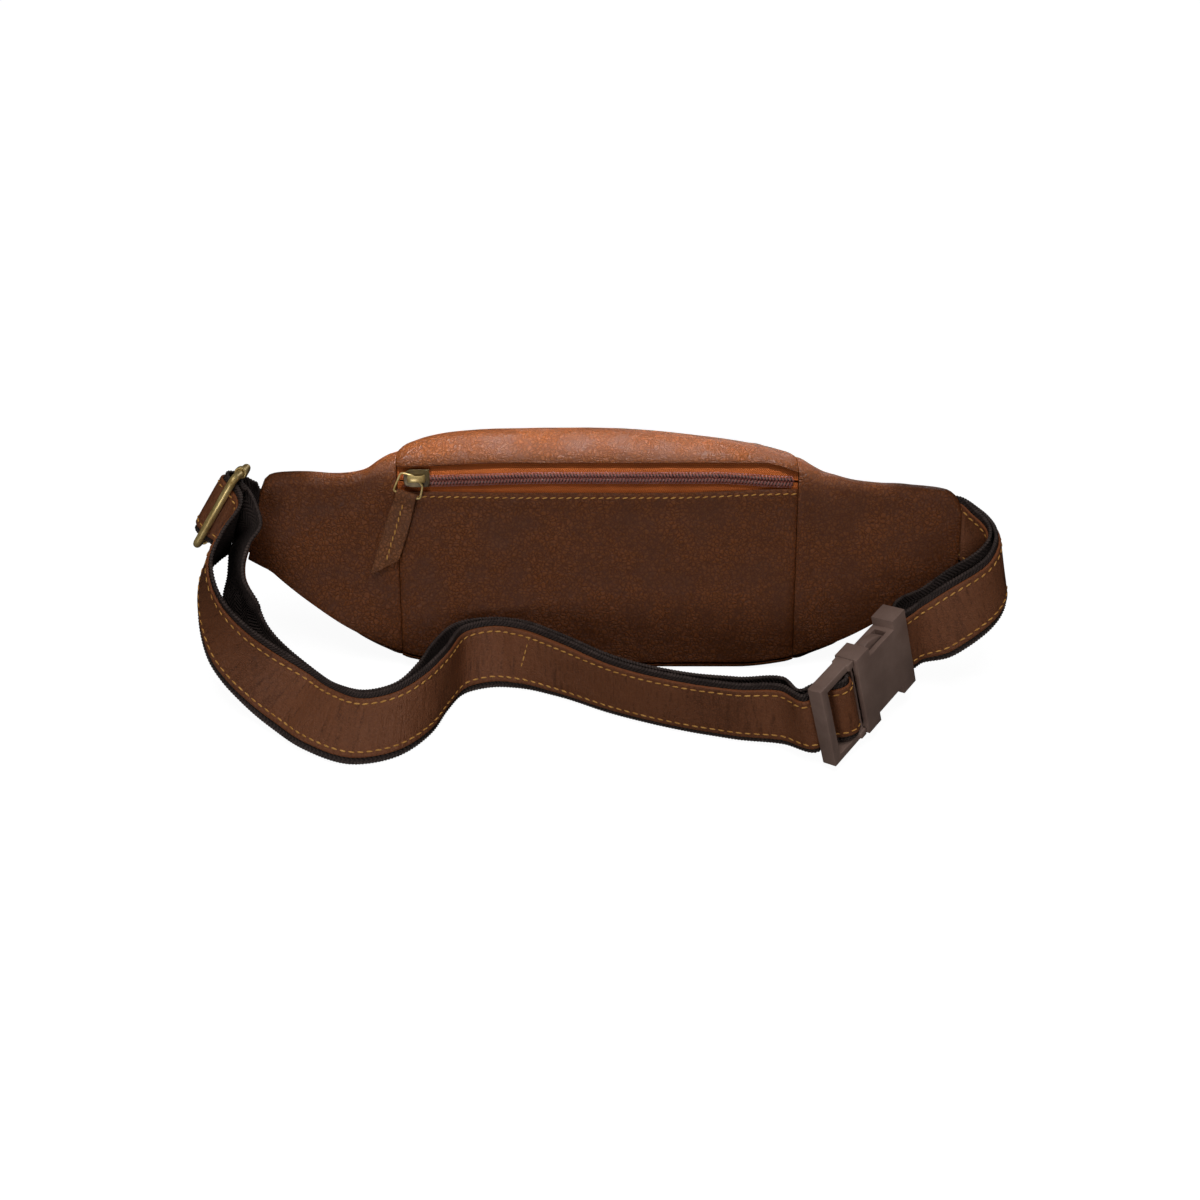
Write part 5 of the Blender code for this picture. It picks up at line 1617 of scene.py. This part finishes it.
@dataclass
class Studio:
    """Floor, light and camera."""

    pitch: float = math.radians(38.0)
    distance: float = 745.0
    rise: float = 39.6
    shift_x: float = -1.1
    focal_pixels: float = 1318.0
    image: float = 1200.0
    floor_tone: Colour = (0.2, 0.2, 0.2, 1.0)
    floor_bounce: Colour = (0.04, 0.04, 0.04, 1.0)
    floor_glow: float = 0.95
    ambient: float = 0.03

    def floor(self) -> None:
        """Add the pale floor, which keeps the shadow and reads as white to the camera."""
        bpy.ops.mesh.primitive_plane_add(size=8.0, location=(0.0, 0.0, -0.0002))
        obj = bpy.context.object
        obj.name = "studio_floor"
        g = Graph("studio_floor")
        at = g.coordinates(Coordinates.OBJECT)
        rays = g.add("ShaderNodeLightPath")
        seen = g.maths("MAXIMUM", rays.outputs["Is Camera Ray"], rays.outputs["Is Transmission Ray"])
        grey = g.span(g.noise(at, 3.0, 2.0), 0.3, 0.7, 0.98, 1.0)
        tone = g.mix(seen, self.floor_bounce, self.floor_tone)
        tone = g.mix(1.0, tone, g.add("ShaderNodeCombineColor", {0: grey, 1: grey, 2: grey}).outputs[0], "MULTIPLY")
        g.shade(Base_Color=tone, Roughness=0.9, Specular_IOR_Level=0.0)
        g.feed(g.shader.inputs["Emission Color"], (1.0, 1.0, 1.0, 1.0))
        far = g.add("ShaderNodeVectorMath", {0: at}, operation="LENGTH").outputs["Value"]
        glow = g.span(far, 0.28, 0.6, self.floor_glow, 1.0)
        g.feed(g.shader.inputs["Emission Strength"], g.maths("MULTIPLY", seen, glow))
        obj.data.materials.append(g.material)

    def lamp(self, name: str, place_at: Tuple[float, float, float], aim: Tuple[float, float, float], size: float,
             power: float) -> bpy.types.AreaLight:
        """Add one soft box and return its light."""
        data = bpy.data.lights.new(name, "AREA")
        data.shape = "DISK"
        data.size = size
        data.energy = power
        obj = bpy.data.objects.new(name, data)
        obj.location = place_at
        obj.rotation_euler = (Vector(aim) - Vector(place_at)).to_track_quat("-Z", "Y").to_euler()
        bpy.context.scene.collection.objects.link(obj)
        return data

    def light(self) -> None:
        """Add the world and the soft boxes."""
        world = bpy.data.worlds.new("studio")
        world.use_nodes = True
        tree = world.node_tree
        back = tree.nodes["Background"]
        back.inputs["Color"].default_value = (1.0, 1.0, 1.0, 1.0)
        rays = tree.nodes.new("ShaderNodeLightPath")
        top = tree.nodes.new("ShaderNodeMath")
        top.operation = "MAXIMUM"
        tree.links.new(rays.outputs["Is Camera Ray"], top.inputs[0])
        tree.links.new(rays.outputs["Is Transmission Ray"], top.inputs[1])
        strength = tree.nodes.new("ShaderNodeMapRange")
        strength.inputs["To Min"].default_value = self.ambient
        strength.inputs["To Max"].default_value = 1.0
        tree.links.new(top.outputs[0], strength.inputs["Value"])
        tree.links.new(strength.outputs["Result"], back.inputs["Strength"])
        bpy.context.scene.world = world
        self.lamp("key", (-0.4, -1.05, 0.22), (0.0, 0.0, 0.05), 0.5, 2.9)
        self.lamp("overhead", (0.0, -0.2, 1.2), (0.0, 0.0, 0.05), 0.8, 5.4)
        self.lamp("fill", (0.75, -0.85, 0.4), (0.0, 0.0, 0.05), 0.6, 1.1)
        self.lamp("behind", (0.35, 1.1, 0.16), (0.0, 0.05, 0.06), 0.5, 1.6)
        strip = self.lamp("strip", (0.0, -0.03, 0.5), (0.0, 0.032, 0.11), 0.32, 0.15)
        strip.shape = "RECTANGLE"
        strip.size_y = 0.05
        strip.spread = math.radians(4.0)

    def camera(self) -> None:
        """Add the camera at the photograph's angle."""
        look = vec(0.0, math.cos(self.pitch), -math.sin(self.pitch))
        up = vec(0.0, math.sin(self.pitch), math.cos(self.pitch))
        at = -self.distance * look + self.rise * up + vec(self.shift_x, 0.0, 0.0)
        data = bpy.data.cameras.new("photo_camera")
        data.sensor_width = 36.0
        data.lens = self.focal_pixels / self.image * 36.0
        data.clip_start = 0.01
        obj = bpy.data.objects.new("photo_camera", data)
        obj.location = tuple(to_metres([at])[0])
        obj.rotation_euler = (math.pi / 2.0 - self.pitch, 0.0, 0.0)
        bpy.context.scene.collection.objects.link(obj)
        bpy.context.scene.camera = obj

    def build(self) -> None:
        """Set the stage."""
        bpy.context.scene.view_settings.view_transform = "Standard"
        self.floor()
        self.light()
        self.camera()


def buckle_frame() -> LocalFrame:
    """Return the buckle's frame: along it, up its width, out of its outer face."""
    turn, pitch, roll = (math.radians(a) for a in (50.3, 5.5, 14.4))
    flat = vec(math.sin(turn), -math.cos(turn), 0.0)
    ahead = vec(math.cos(turn), math.sin(turn), 0.0)
    along = math.cos(pitch) * ahead + math.sin(pitch) * vec(0.0, 0.0, 1.0)
    up = math.cos(roll) * np.cross(flat, along) - math.sin(roll) * flat
    return LocalFrame(vec(111.2, -76.8, 27.6), along, up)


def main() -> None:
    """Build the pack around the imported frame."""
    logging.basicConfig(level=logging.INFO, format="%(name)s: %(message)s")
    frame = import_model()
    nodes = frame["nodes"]
    wardrobe = Wardrobe()
    Studio().build()
    form = PackForm()
    Shell(form, wardrobe).build()
    rear = LocalFrame(rear_point(0.0, 109.0, 0.0), vec(1.0, 0.0, 0.0), rear_point(0.0, 1.0, 0.0))
    top, low = form.point(0.0, 4.0), form.point(0.0, 6.0)
    front = LocalFrame((top + low) / 2.0, vec(-1.0, 0.0, 0.0), top - low)
    Zip("rear", rear, (-108.0, 104.5), (-112.3, 107.4), lambda x: (form.yoke_edge(x) - 106.4, 12.8), -101.0,
        wardrobe.rear_tape, wardrobe, (1.6, 2.2)).build()
    Zip("main", front, (-84.0, 84.0), (-89.0, 89.0), lambda x: (11.4, 11.4), -76.0, wardrobe.main_tape,
        wardrobe).build()
    for name in ("main_lining", "rear_pocket_lining"):
        nodes[name].data.materials.clear()
        nodes[name].data.materials.append(wardrobe.lining)
    buckle = buckle_frame()
    adjuster = LocalFrame(vec(-206.8, 34.2, 88.7), vec(0.045, 0.956, -0.289), vec(0.548, 0.218, 0.808), True)
    Buckle(wardrobe, nodes, buckle).build()
    Adjuster(wardrobe, adjuster).build()
    Belt(wardrobe, buckle, adjuster).build()
    bpy.context.view_layer.update()


if __name__ == "__main__":
    main()
